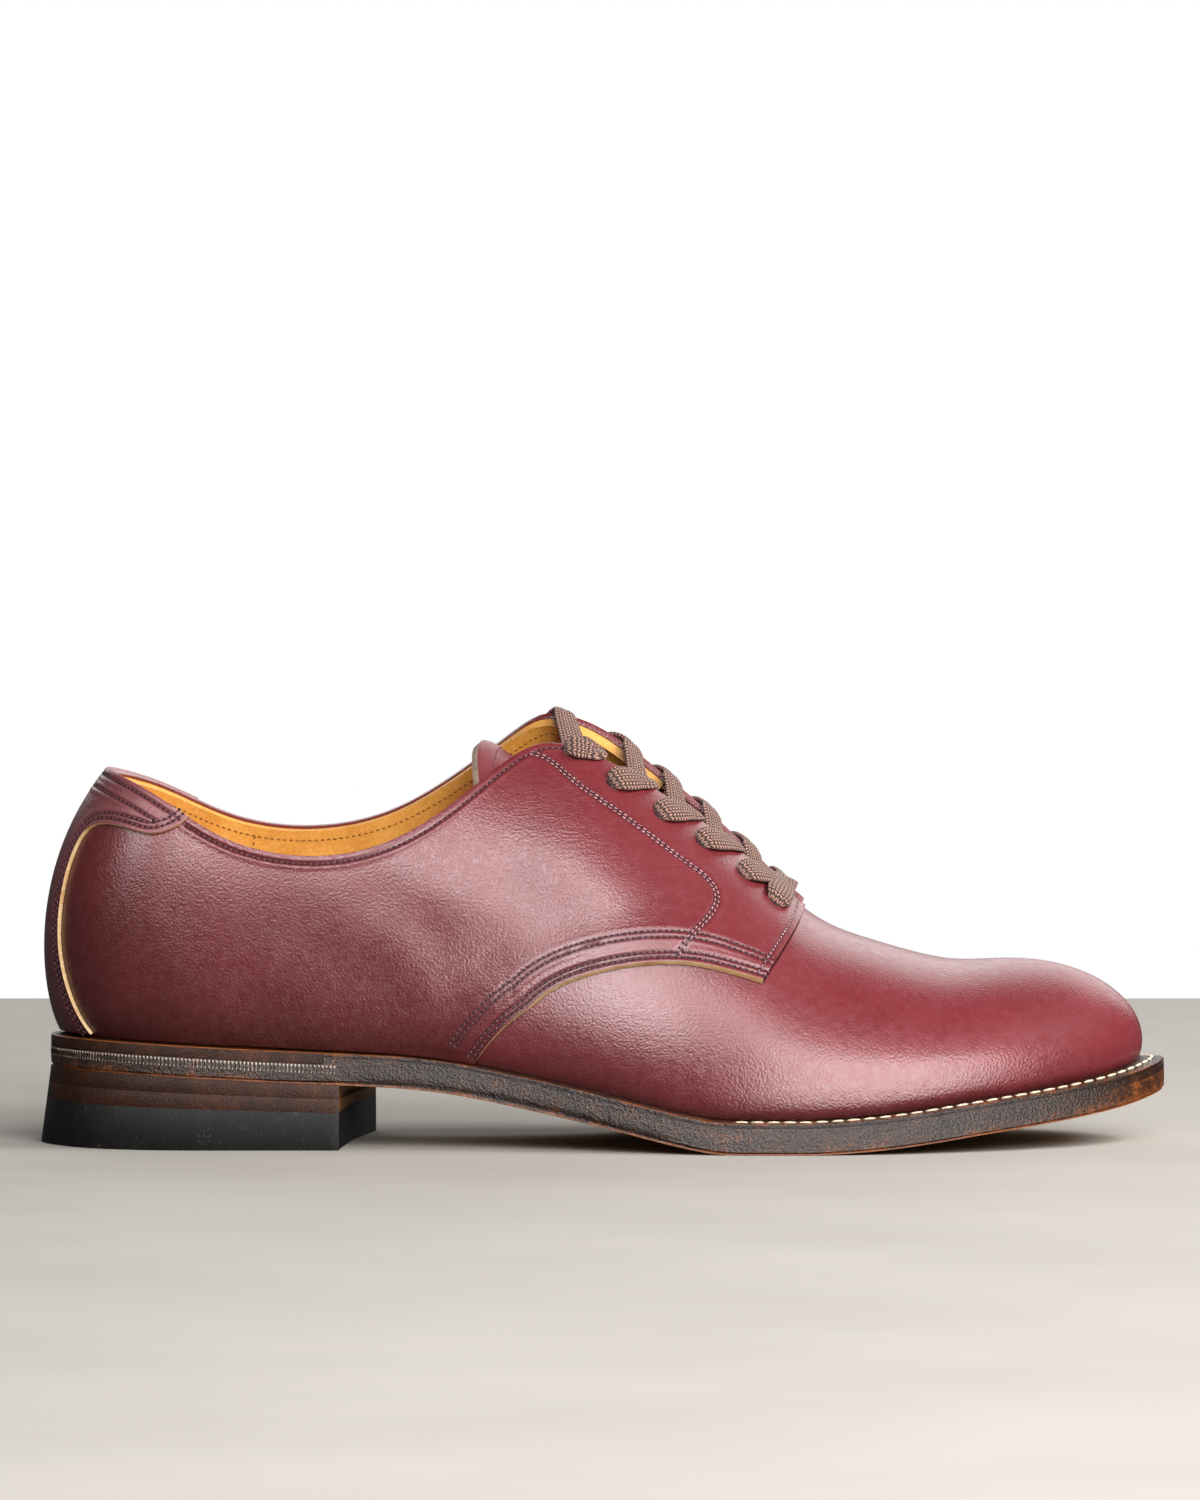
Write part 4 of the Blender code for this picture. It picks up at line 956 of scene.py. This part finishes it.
def tongueFrames(samples=400):  # one row across the tongue, beside its cut end
    share = 1 - tongueCut["row"] / ((tongueCut["foot"] - tongueCut["top"]) * length)

    def across(u, rise):
        p, turn, drop = tonguePlace(u, np.full(len(u), share))
        return skin(p, turn, tongueCut["outside"] + rise) - drop[:, None] * [0, 0, 1]

    u = np.linspace(*tongueCut["rowReach"], samples)
    u = evenly(u, across(u, 0.0), tongueCut["pitch"])
    return turned(across(u, 0.0), across(u, 1.0) - across(u, 0.0), tongueCut["rowSlant"])


upperSeams["rose"].append(tongueFrames())
for name, frames, size, thread in (("upper_stitches", "rose", (1.05, 0.5, 0.5), roseThread),
                                   ("facing_stitches", "mauve", (1.25, 0.4, 0.45), mauveThread),
                                   ("needle_hole_shade", "holes", (0.8, 0.9, 0.32), holeShade)):
    sew(name, upperSeams[frames], size, thread, "quarter_leather")

liningSeam = {"below": 3.4, "pitch": 1.7, "from": 6.9, "joint": 57.0, "jointReach": (0.03, 0.3), "sunk": 0.05,
              "slant": 0.1, "stitch": (1.1, 0.5, 0.4), "points": 300, "jointPoints": 40}
seamP = np.linspace(liningSeam["from"], ringTurn - liningSeam["from"], liningSeam["points"])
# the lining's joint on the inner side is a short upright row
jointP = np.full(liningSeam["jointPoints"], topRib(True, liningSeam["joint"]))
liningRows = (slide(seamP, quarterTop(seamP), liningSeam["below"]),
              (jointP, quarterTop(jointP) - np.linspace(*liningSeam["jointReach"], len(jointP))))
liningFrames = [rowFrames(row, lambda p, turn: liningCut["inside"] - liningSeam["sunk"], liningSeam["pitch"],
                          liningSeam["slant"]) for row in liningRows]
sew("lining_stitches", liningFrames, liningSeam["stitch"], liningThread, "tan_lining")


# sole and heel
def layShell(name, columns, rows, place, finishes, fill=False, marks=None, merge=0.004):
    piece = addGrid(name, columns, rows, finishes)
    u, v, _ = gridPlaces(piece)
    writePoints(piece, place(u, v))
    if marks:
        mark(piece, **marks(u, v))
    closeUp(piece, merge, fill)
    return piece


def atHeight(xy, z):
    return np.concatenate([xy, np.asarray(z, float)[..., None]], -1)


def roundLoop(rows, v):  # points of a closed round of rows, by the share of the way round
    return np.stack(rows + rows[:1])[np.rint(v * len(rows)).astype(int), np.arange(len(v))]


def slabRound(v, across):  # which points of a slab's round lie on its top, and their share of the way across
    steps = 2 * (across + 1)
    index = np.rint(v * steps).astype(int) % steps
    top = index <= across
    return top, np.where(top, index, 2 * across + 1 - index) / across


soleCut = {
    "waist": 0.42, "waistReach": 0.20, "bevelWaist": 1.4, "bevelTread": 0.5, "columns": 240,
    # distance in from the edge, and height: t from the top down, b from the bottom up in bevels
    "profile": ((14.0, "t", 0.0), (0.4, "t", 0.0), (0.0, "t", 0.0), (-0.06, "t", 1.0), (-0.08, "t", 2.2),
                (0.0, "b", 1.75), (0.12, "b", 1.55), (0.5, "b", 0.8), (0.5, "b", 0.7), (0.5, "b", 0.14),
                (0.7, "b", 0.03), (2.0, "b", 0.0), (6.0, "b", 0.0), (14.0, "b", 0.0)),
    # where the dye is rubbed off: the lip, the toe and the top of the waist
    "lip": (1.1, -1.0), "toe": 0.4, "toeFrom": (272.0, 20.0),
    "top": 0.3, "topFrom": (3.6, 1.2), "topAt": (165.0, 35.0),
}


def edgeProfile(p, profile):  # points down the sole's edge at rib p, in from the sole's outline
    edge = outline(p, soleEdge(p))
    x = edge[..., 0]
    waist = np.clip(1 - np.abs(x / length - soleCut["waist"]) / soleCut["waistReach"], 0, 1)
    bevel = soleCut["bevelTread"] + (soleCut["bevelWaist"] - soleCut["bevelTread"]) * waist
    rows = []
    for inset, kind, value in profile:
        xy = outline(p, soleEdge(p) - inset)
        base = xy[..., 0] if inset > 1 else x
        z = outsoleTop(base) - value if kind == "t" else soleBottom(base) + bevel * value
        rows.append(atHeight(xy, z))
    return rows


def outsolePlace(u, v):
    p = heelBack * u
    lateral, medial = (edgeProfile(ribs, soleCut["profile"]) for ribs in (p, ringTurn - p))
    return roundLoop(lateral + medial[::-1], v)


def onLast(piece):  # a finished piece's points, back in the last's millimetres
    return (readPoints(piece) / mm - shift).T


outsole = layShell("outsole_leather", soleCut["columns"], 2 * len(soleCut["profile"]), outsolePlace,
                   (soleDyed, soleBare))
finishWhere(outsole, 1, lambda face: face.normal.z < -0.8)  # the underside shows the tanned leather
rimX, _, rimZ = onLast(outsole)
rimZ = rimZ - soleBottom(rimX)
mark(outsole, rubbed=ramp(rimZ, *soleCut["lip"]) + soleCut["toe"] * ramp(rimX, *soleCut["toeFrom"])
     + soleCut["top"] * ramp(rimZ, *soleCut["topFrom"]) * bellAt(rimX, soleCut["topAt"]))
settle(outsole, "sole_leather", "outsole", soft=35.0)

weltCut = {
    "randEnd": 0.255, "parting": 0.002, "columns": 420, "inner": -3.1, "seat": 0.02,
    "profile": ((None, 3.3), (5.6, 3.15), (4.0, 3.0), (3.6, 2.72), (3.0, 2.72), (2.6, 3.0), (0.6, 3.0), (0.2, 2.9),
                (0.02, 2.65), (0.05, 2.2), (0.34, 2.05), (0.34, 1.8), (0.02, 1.68), (0.0, 1.4), (0.0, 0.0),
                (None, 0.0)),  # in from the edge, height
    "bare": 0.55, "bareAt": (2.95, 0.22),  # rubbed along the upper corner
    "stitchInset": 3.3, "stitchHeight": 3.05, "pitch": 4.2, "stitchFrom": 186.0, "clear": 0.9,
    "stitch": (3.5, 1.15, 0.8),
}
randCut = {
    "columns": 200,
    "profile": ((None, 3.3), (5.0, 3.15), (1.2, 3.0), (0.45, 3.0), (0.1, 2.8), (0.0, 2.4), (0.0, 0.15), (0.12, 0.0),
                (None, 0.0)),
}


def stripPlace(ribs, profile):
    def place(u, v):
        p = ribs[0] + (ribs[1] - ribs[0]) * u
        base = outsoleTop(outline(p, soleEdge(p))[..., 0]) + weltCut["seat"]
        rows = []
        for inset, height in profile:
            outset = weltCut["inner"] if inset is None else soleEdge(p) - inset
            rows.append(atHeight(outline(p, outset), base + height))
        return roundLoop(rows, v)

    return place


lateralEnd, medialEnd = (ribAt(medial, footX(everyRib), weltCut["randEnd"] * length) for medial in (False, True))
weltRibs = (medialEnd + weltCut["parting"], ringTurn + lateralEnd - weltCut["parting"])
randRibs = (lateralEnd + weltCut["parting"], medialEnd - weltCut["parting"])
welt = layShell("welt_strip", weltCut["columns"], len(weltCut["profile"]), stripPlace(weltRibs, weltCut["profile"]),
                (soleDyed,), True)
weltX, _, weltZ = onLast(welt)
mark(welt, rubbed=weltCut["bare"] * bellAt(weltZ - outsoleTop(weltX), weltCut["bareAt"]))
settle(welt, "sole_leather", "welt", soft=35.0)
rand = layShell("heel_rand_strip", randCut["columns"], len(randCut["profile"]),
                stripPlace(randRibs, randCut["profile"]), (heelStack, bareLine), True)
finishWhere(rand, 1, lambda face: 0.5 < face.normal.z < 0.97)  # its upper corner is rubbed bare
settle(rand, "heel_leather", "heel_rand", soft=35.0)


def weltFrames(samples=4000):
    p = np.linspace(weltRibs[0] + weltCut["clear"], weltRibs[1] - weltCut["clear"], samples)
    p = evenly(p, outline(p, soleEdge(p) - weltCut["stitchInset"]), weltCut["pitch"])
    xy = outline(p, soleEdge(p) - weltCut["stitchInset"])
    places = atHeight(xy, outsoleTop(outline(p, soleEdge(p))[:, 0]) + weltCut["stitchHeight"])
    return turned(places[xy[:, 0] > weltCut["stitchFrom"]], np.array([0.0, 0.0, 1.0]), 0.0)


sew("welt_stitches", [weltFrames()], weltCut["stitch"], weltThread, "sole_leather")

knurl = {"pitch": 1.03, "further": 0.09, "height": (2.75, 5.35), "depth": 0.3, "proud": 0.14, "sharpness": 1.5,
         "sunk": -0.3, "columns": 1800, "rows": 10, "margin": 8, "bareMargin": 12,
         "bareTop": (0.86, 0.12), "bareFoot": (0.14, 0.1), "footBare": 0.6, "bare": 0.25}


def knurlRib(u):
    reach = knurl["further"]
    return lateralEnd - reach + (medialEnd - lateralEnd + 2 * reach) * u


def knurlTooth(u, samples=3000):  # 1 on a ridge of the wheel's marks, 0 between
    ribs = knurlRib(np.linspace(0, 1, samples))
    way = np.interp(knurlRib(u), ribs, wayAlong(outline(ribs, soleEdge(ribs))))
    return np.abs(np.sin(math.pi * way / knurl["pitch"])) ** knurl["sharpness"]


def knurlPlace(u, v):
    p = knurlRib(u)
    inside = np.clip(np.minimum(v, 1 - v) * knurl["margin"], 0, 1)
    lift = knurl["proud"] + knurl["depth"] * (knurlTooth(u) - 1.0) * inside
    xy = outline(p, soleEdge(p) + np.where((v <= 0) | (v >= 1), knurl["sunk"], lift))
    low, high = knurl["height"]
    return atHeight(xy, soleBottom(outline(p, soleEdge(p))[:, 0]) + low + (high - low) * v)


def knurlMarks(u, v):  # the teeth's tips are rubbed bare, most along the top
    tips = bellAt(v, knurl["bareTop"]) + knurl["footBare"] * bellAt(v, knurl["bareFoot"]) + knurl["bare"]
    inside = np.clip(np.minimum(v, 1 - v) * knurl["bareMargin"], 0, 1)
    return {"rubbed": np.clip(knurlTooth(u) * tips * inside, 0, 1)}


wheel = layShell("heel_wheeling", knurl["columns"], knurl["rows"], knurlPlace, (wheeledSole,), marks=knurlMarks)
settle(wheel, "sole_leather", soft=60.0)
print("sole and welt laid")

heelCut = {
    "topPiece": 0.575, "lowerLift": 0.785, "breastLateral": 80.5, "breastMedial": 88.5, "breastHollow": 1.6,
    "breastSharpness": 8, "backFlare": 2.7, "sideFlare": 1.2, "flareGrowth": 6.0, "columns": 70, "across": 9,
    "clear": 0.02, "liftBevel": 0.22, "rubberBevel": 0.5,
}


def heelPlace(lowShare, highShare):
    lateral, medial = soleRim[everyRib <= heelBack][::-1], soleRim[everyRib >= heelBack]
    back = soleRim[:, 0].min()

    def level(share, reach, side, clear):
        flare = 1 - share
        lateralX, medialX = (back + (heelCut[key] - back) * reach for key in ("breastLateral", "breastMedial"))
        sideFlare = heelCut["sideFlare"] * flare * np.minimum(1, heelCut["flareGrowth"] * reach)
        lateralY, medialY = np.interp(lateralX, *lateral.T) - sideFlare, np.interp(medialX, *medial.T) + sideFlare
        hollow = heelCut["breastHollow"] * reach ** heelCut["breastSharpness"] * 4 * side * (1 - side)
        x = lateralX + (medialX - lateralX) * side - hollow - heelCut["backFlare"] * flare * (1 - reach)
        return np.stack([x, lateralY + (medialY - lateralY) * side, soleBottom(x) * share - clear], -1)

    def place(u, v):
        top, side = slabRound(v, heelCut["across"])
        high, low = level(highShare, u ** 2, side, heelCut["clear"]), level(lowShare, u ** 2, side, 0.0)
        return np.where(top[:, None], high, low)

    return place


stackFinishes = (heelStack, heelBreast, bareLine)
for name, node, low, high, slot, finishes, bevel in (
        ("heel_lift_top", "heel_lift_upper", heelCut["lowerLift"], 1.0, "heel_leather", stackFinishes, "liftBevel"),
        ("heel_lift_bottom", "heel_lift_lower", heelCut["topPiece"], heelCut["lowerLift"], "heel_leather",
         stackFinishes, "liftBevel"),
        ("heel_rubber_piece", "heel_top_piece", 0.0, heelCut["topPiece"], "heel_rubber", (topRubber,), "rubberBevel")):
    layer = layShell(name, heelCut["columns"], 2 * (heelCut["across"] + 1), heelPlace(low, high), finishes, True)
    finishWhere(layer, min(1, len(finishes) - 1), lambda face: face.normal.x > 0.8)  # the lifts' breast is undyed
    roundEdges(layer, heelCut[bevel], 40.0, len(finishes) - 1)
    settle(layer, slot, node, soft=35.0)

footbed = {"inset": 2.9, "rise": 2.6, "clear": 0.3, "hollow": 1.2, "columns": 90, "across": 8}


def footbedPlace(u, v):
    p = heelBack * u
    sides = [outline(ribs, -footbed["inset"]) for ribs in (p, ringTurn - p)]
    top, share = slabRound(v, footbed["across"])
    (lateralTop, medialTop), (lateralLow, medialLow) = (
        [atHeight(xy, level(xy[:, 0]) + rise) for xy in sides]
        for level, rise in ((weltTop, footbed["rise"]), (outsoleTop, footbed["clear"])))
    high = lateralTop + (medialTop - lateralTop) * share[:, None]
    high[:, 2] -= footbed["hollow"] * (1 - (2 * share - 1) ** 2)
    low = lateralLow + (medialLow - lateralLow) * share[:, None]
    return np.where(top[:, None], high, low)


sock = layShell("footbed", footbed["columns"], 2 * (footbed["across"] + 1), footbedPlace, (tanLining,))
settle(sock, "tan_lining", "insole")
print("heel and footbed laid")


# the lace, run through six pairs of punched eyelets
laceCut = {
    "eyelets": ((4.791, 15.5), (5.117, 13.0), (5.530, 11.4), (5.938, 10.3), (6.390, 8.1), (6.825, 1.6)),  # rib, inset
    "medialBack": 0.1, "medialInset": 7.0, "barEdge": 2.5, "barRise": (0.0, 0.0, 0.6), "barUp": (0.35, 0.0, 0.94),
    "nearEdge": 8.6, "nearFar": 11.0, "nearShift": (0.0, 0.0, 0.0, 0.0, 0.0, -2.0),
    "farEdge": 4.5, "farFar": 11.0, "farShift": (0.0, 0.0, 0.0, 0.5, 2.0, -3.0),
    "width": 7.5, "thick": 1.5, "around": 36, "spacing": 0.4, "flatX": 0.8, "flatY": 0.7, "back": 20.0,
    "under": -2.95, "underEdge": 0.002, "underReach": 5.0,
    # share of the way from the hole to the facing's edge, lift, width, thickness, tilt
    "lobe": ((0.16, -0.9, 0.30, 1.0, 1.5), (0.05, 0.5, 0.40, 1.1, 1.45), (0.0, 1.6, 0.56, 1.2, 1.15),
             (0.01, 2.4, 0.70, 1.3, 0.75), (0.045, 2.95, 0.85, 1.35, 0.4), (0.11, 3.25, 0.98, 1.4, 0.15),
             (0.25, 3.35, 1.10, 1.4, 0.0), (0.45, 3.25, 1.10, 1.3, 0.0), (0.7, 3.05, 0.98, 1.15, 0.0),
             (1.0, 2.8, 0.76, 1.0, 0.0)),
    "nearSag": ((0.14, 0.2), (0.32, -2.0), (0.55, -3.6), (0.8, -2.8)),  # share of the way over the gap, rise
    "farSag": ((0.14, 0.5), (0.32, 0.1), (0.55, -0.4), (0.8, -0.8)),
    "hole": (3.6, 3.6, 0.5), "holeLift": 1.95, "holeSides": 14,
}


def eyelet(row, medial):  # rib and turn of a punched hole
    p, inset = laceCut["eyelets"][row]
    if medial:
        p, inset = ringTurn - p - (laceCut["medialBack"] if row else 0.0), max(inset, laceCut["medialInset"])
    return np.array([p, reachDown(p, inset, quarterTop(p))])


def facingEdge(medial, x):
    p = topRib(medial, x)
    return np.array([p, quarterTop(p)])


def lobePath(row, medial, reach):  # out of the punched hole in a round bulge, then flat along the facing to its edge
    hole = eyelet(row, medial)
    station = wall(*hole)[0]
    edge = facingEdge(medial, station + reach)
    back = unit(wall(*hole) - wall(*edge))
    points, ups, widths, thicks = [], [], [], []
    for share, lift, width, thick, tilt in laceCut["lobe"]:
        p, turn = hole + (edge - hole) * share
        points.append(skin(p, turn, lift))
        ups.append(outward(p, turn) * math.cos(tilt) + back * math.sin(tilt))
        widths.append(width)
        thicks.append(thick)
    return points, ups, widths, thicks, station


def laceStrip(points, ups, widths, thicks):
    way = wayAlong(np.array(points))
    at = np.linspace(0, way[-1], round(way[-1] / laceCut["spacing"]) + 1)
    path, up = (np.stack([cubic(way, column)(at) for column in np.array(rows).T], -1) for rows in (points, ups))
    width, thick = np.interp(at, way, widths) * laceCut["width"], np.interp(at, way, thicks) * laceCut["thick"]
    along = unit(np.gradient(path, axis=0))
    side = unit(np.cross(along, up))
    return path, side, np.cross(side, along), width, thick, at


def laceGrid(name, strip):
    path, side, up, width, thick, at = strip
    piece = addGrid(name, len(path) - 1, laceCut["around"], (laceBraid,))
    u, v, _ = gridPlaces(piece)
    i = np.rint(u * (len(path) - 1)).astype(int)
    flatX, flatY = (np.sign(part) * np.abs(part) ** laceCut[key]
                    for part, key in ((np.cos(2 * math.pi * v), "flatX"), (np.sin(2 * math.pi * v), "flatY")))
    across = flatX * laceCut["width"] / 2
    rib = braidSize["ribDepth"] * (np.abs(np.sin(math.pi * across / braidSize["rib"])) - 0.5)
    writePoints(piece, path[i] + side[i] * (flatX * width[i] / 2)[:, None]
                + up[i] * (flatY * (thick[i] / 2 + rib))[:, None])
    loops = np.zeros(len(piece.data.loops), np.int32)
    piece.data.loops.foreach_get("vertex_index", loops)
    uv = np.stack([at[i], across + np.where(flatY < 0, laceCut["back"] * braidSize["rib"], 0)], -1)[loops]
    piece.data.uv_layers[0].data.foreach_set("uv", uv.ravel())
    closeUp(piece, fill=True)
    return piece


near, far = (lobePath(0, medial, laceCut["barEdge"]) for medial in (False, True))
middle = ((near[0][-1] + far[0][-1]) / 2 + np.array(laceCut["barRise"]), np.array(laceCut["barUp"]), 1.0, 1.0)
# the lowest bar goes straight across
strips = [laceStrip(*(one + [between] + other[::-1] for one, between, other in zip(near, middle, far)))]
for row in range(1, len(laceCut["eyelets"])):
    for medial, side in ((False, "near"), (True, "far")):
        aside = laceCut[side + "Shift"][row]
        points, ups, widths, thicks, station = lobePath(row, medial, laceCut[side + "Edge"] + aside)
        p, edge = facingEdge(not medial, station + laceCut[side + "Far"] + aside)
        under = [skin(p, turn, laceCut["under"])
                 for turn in (edge - laceCut["underEdge"], reachDown(p, laceCut["underReach"], edge))]
        start, up, farUp = points[-1], ups[-1], outward(p, edge)
        for share, rise in laceCut[side + "Sag"]:  # over the gap, down under the other facing
            points.append(start + (under[0] - start) * share + np.array([0, 0, rise]))
            ups.append(up * (1 - share) + farUp * share)
        plain = [1.0] * (len(laceCut[side + "Sag"]) + len(under))
        strips.append(laceStrip(points + under, ups + [farUp, farUp], widths + plain, thicks + plain))
laceParts = [laceGrid("lace_part", strip) for strip in strips]
clearSelection()
for part in laceParts:
    part.select_set(True)
bpy.context.view_layer.objects.active = lace = laceParts[0]
bpy.ops.object.join()
lace.name = lace.data.name = "lace_braid"
settle(lace, "lace_cotton", "lace_bar", *("lace_cross_" + str(i) for i in range(2, 7)), soft=60.0)
# each punched eyelet is a dark dish under the lace end: painted shade in the hole
spots = np.array([eyelet(row, medial) for row in range(len(laceCut["eyelets"])) for medial in (False, True)]).T
holeUp = outward(*spots)
holeFrames = (skin(*spots, laceCut["holeLift"]), unit(np.cross(holeUp, [0.0, 1.0, 0.0])), holeUp)
sew("eyelet_hole_shade", [holeFrames], laceCut["hole"], holeShade, "quarter_leather", 0.0, laceCut["holeSides"])
print("lace run")


# floor, light and camera
def paleFloor(patch=90.0):
    # plain matt studio board
    made, tree, place = newMaterial("studioBoard")
    soft = addNode(tree, "TexNoise", {"Vector": place, "Scale": 1 / patch, "Detail": 2.0})
    colour = addNode(tree, "ValToRGB", {"Fac": soft}, stops=((0.3, "#AAA59E"), (0.7, "#B0ABA4")))
    return finishMaterial(made, {"Base Color": colour, "Roughness": 0.9, "Specular IOR Level": 0.0})


stageCut = {"near": 4.0, "far": 0.62, "half": 4.0}
clearSelection()
bpy.ops.mesh.primitive_plane_add(size=1.0)
floor = bpy.context.object
floor.name = "studio_floor"
floorPoints = readPoints(floor)
floorPoints[:, 0] *= 2 * stageCut["half"]
floorPoints[:, 1] = np.where(floorPoints[:, 1] > 0, stageCut["far"], -stageCut["near"])
floor.data.vertices.foreach_set("co", floorPoints.ravel())
floor.data.update()
floor.data.materials.append(paleFloor())
floor.visible_glossy = False


def softLight(name, place, aim, width, height, power, fills=True, shines=True):
    lamp = bpy.data.lights.new(name, "AREA")
    lamp.shape, lamp.size, lamp.size_y, lamp.energy = "RECTANGLE", width, height, power
    holder = bpy.data.objects.new(name, lamp)
    holder.location, holder.visible_camera = place, False
    holder.visible_diffuse, holder.visible_glossy = fills, shines
    direction = np.array(aim) - np.array(place)
    holder.rotation_euler = (math.acos(-direction[2] / np.linalg.norm(direction)), 0.0,
                             math.atan2(direction[1], direction[0]) - math.pi / 2)
    bpy.context.scene.collection.objects.link(holder)


softLight("fill_box", (0.50, -1.30, 0.85), (0.03, 0.0, 0.05), 1.2, 1.0, 34.0, shines=False)
softLight("toe_box", (1.0, -0.2, 0.8), (0.08, 0.0, 0.05), 0.6, 0.6, 16.0, shines=False)
softLight("toe_glow", (1.0, -0.2, 0.8), (0.08, 0.0, 0.05), 0.6, 0.6, 5.5, fills=False)
softLight("key_box", (-0.24, -1.18, 0.86), (0.0, 0.0, 0.07), 0.6, 0.62, 14.5, fills=False)
softLight("heel_box", (-0.95, -0.75, 0.85), (-0.11, 0.0, 0.08), 0.5, 0.5, 8.0, fills=False)
softLight("flank_card", (-0.017, -0.102, 0.052), (0.008, -0.04, 0.039), 0.05, 0.035, 0.06, fills=False)
softLight("low_card", (0.175, -0.27, 0.004), (0.11, -0.04, 0.05), 0.29, 0.26, 2.5, fills=False)
softLight("back_box", (0.1, 1.3, 0.85), (0.05, 0.0, 0.05), 2.2, 1.0, 15.0)

world = bpy.data.worlds.new("studio")
world.use_nodes = True
tree = world.node_tree
tree.nodes.clear()
path = addNode(tree, "LightPath", {})
seen = addNode(tree, "Background", {"Color": "#FFFFFF", "Strength": 1.0})
lit = addNode(tree, "Background", {"Color": "#F4F6FA", "Strength": 0.06})
both = addNode(tree, "MixShader", {0: (path, "Is Camera Ray"), 1: lit, 2: seen})
addNode(tree, "OutputWorld", {"Surface": both})
bpy.context.scene.world = world
bpy.context.scene.view_settings.view_transform = "Standard"

shot = {"place": (-0.0008, -2.2, 0.173), "tilt": 1.788, "lens": 198.2, "sensor": 36.0}
eye = bpy.data.cameras.new("shoe_camera")
eye.sensor_width, eye.lens, eye.sensor_fit = shot["sensor"], shot["lens"], "AUTO"
camera = bpy.data.objects.new("shoe_camera", eye)
camera.location = shot["place"]
camera.rotation_euler = (math.radians(90 - shot["tilt"]), 0.0, 0.0)
bpy.context.scene.collection.objects.link(camera)
bpy.context.scene.camera = camera
print("stage set")

clearSelection()
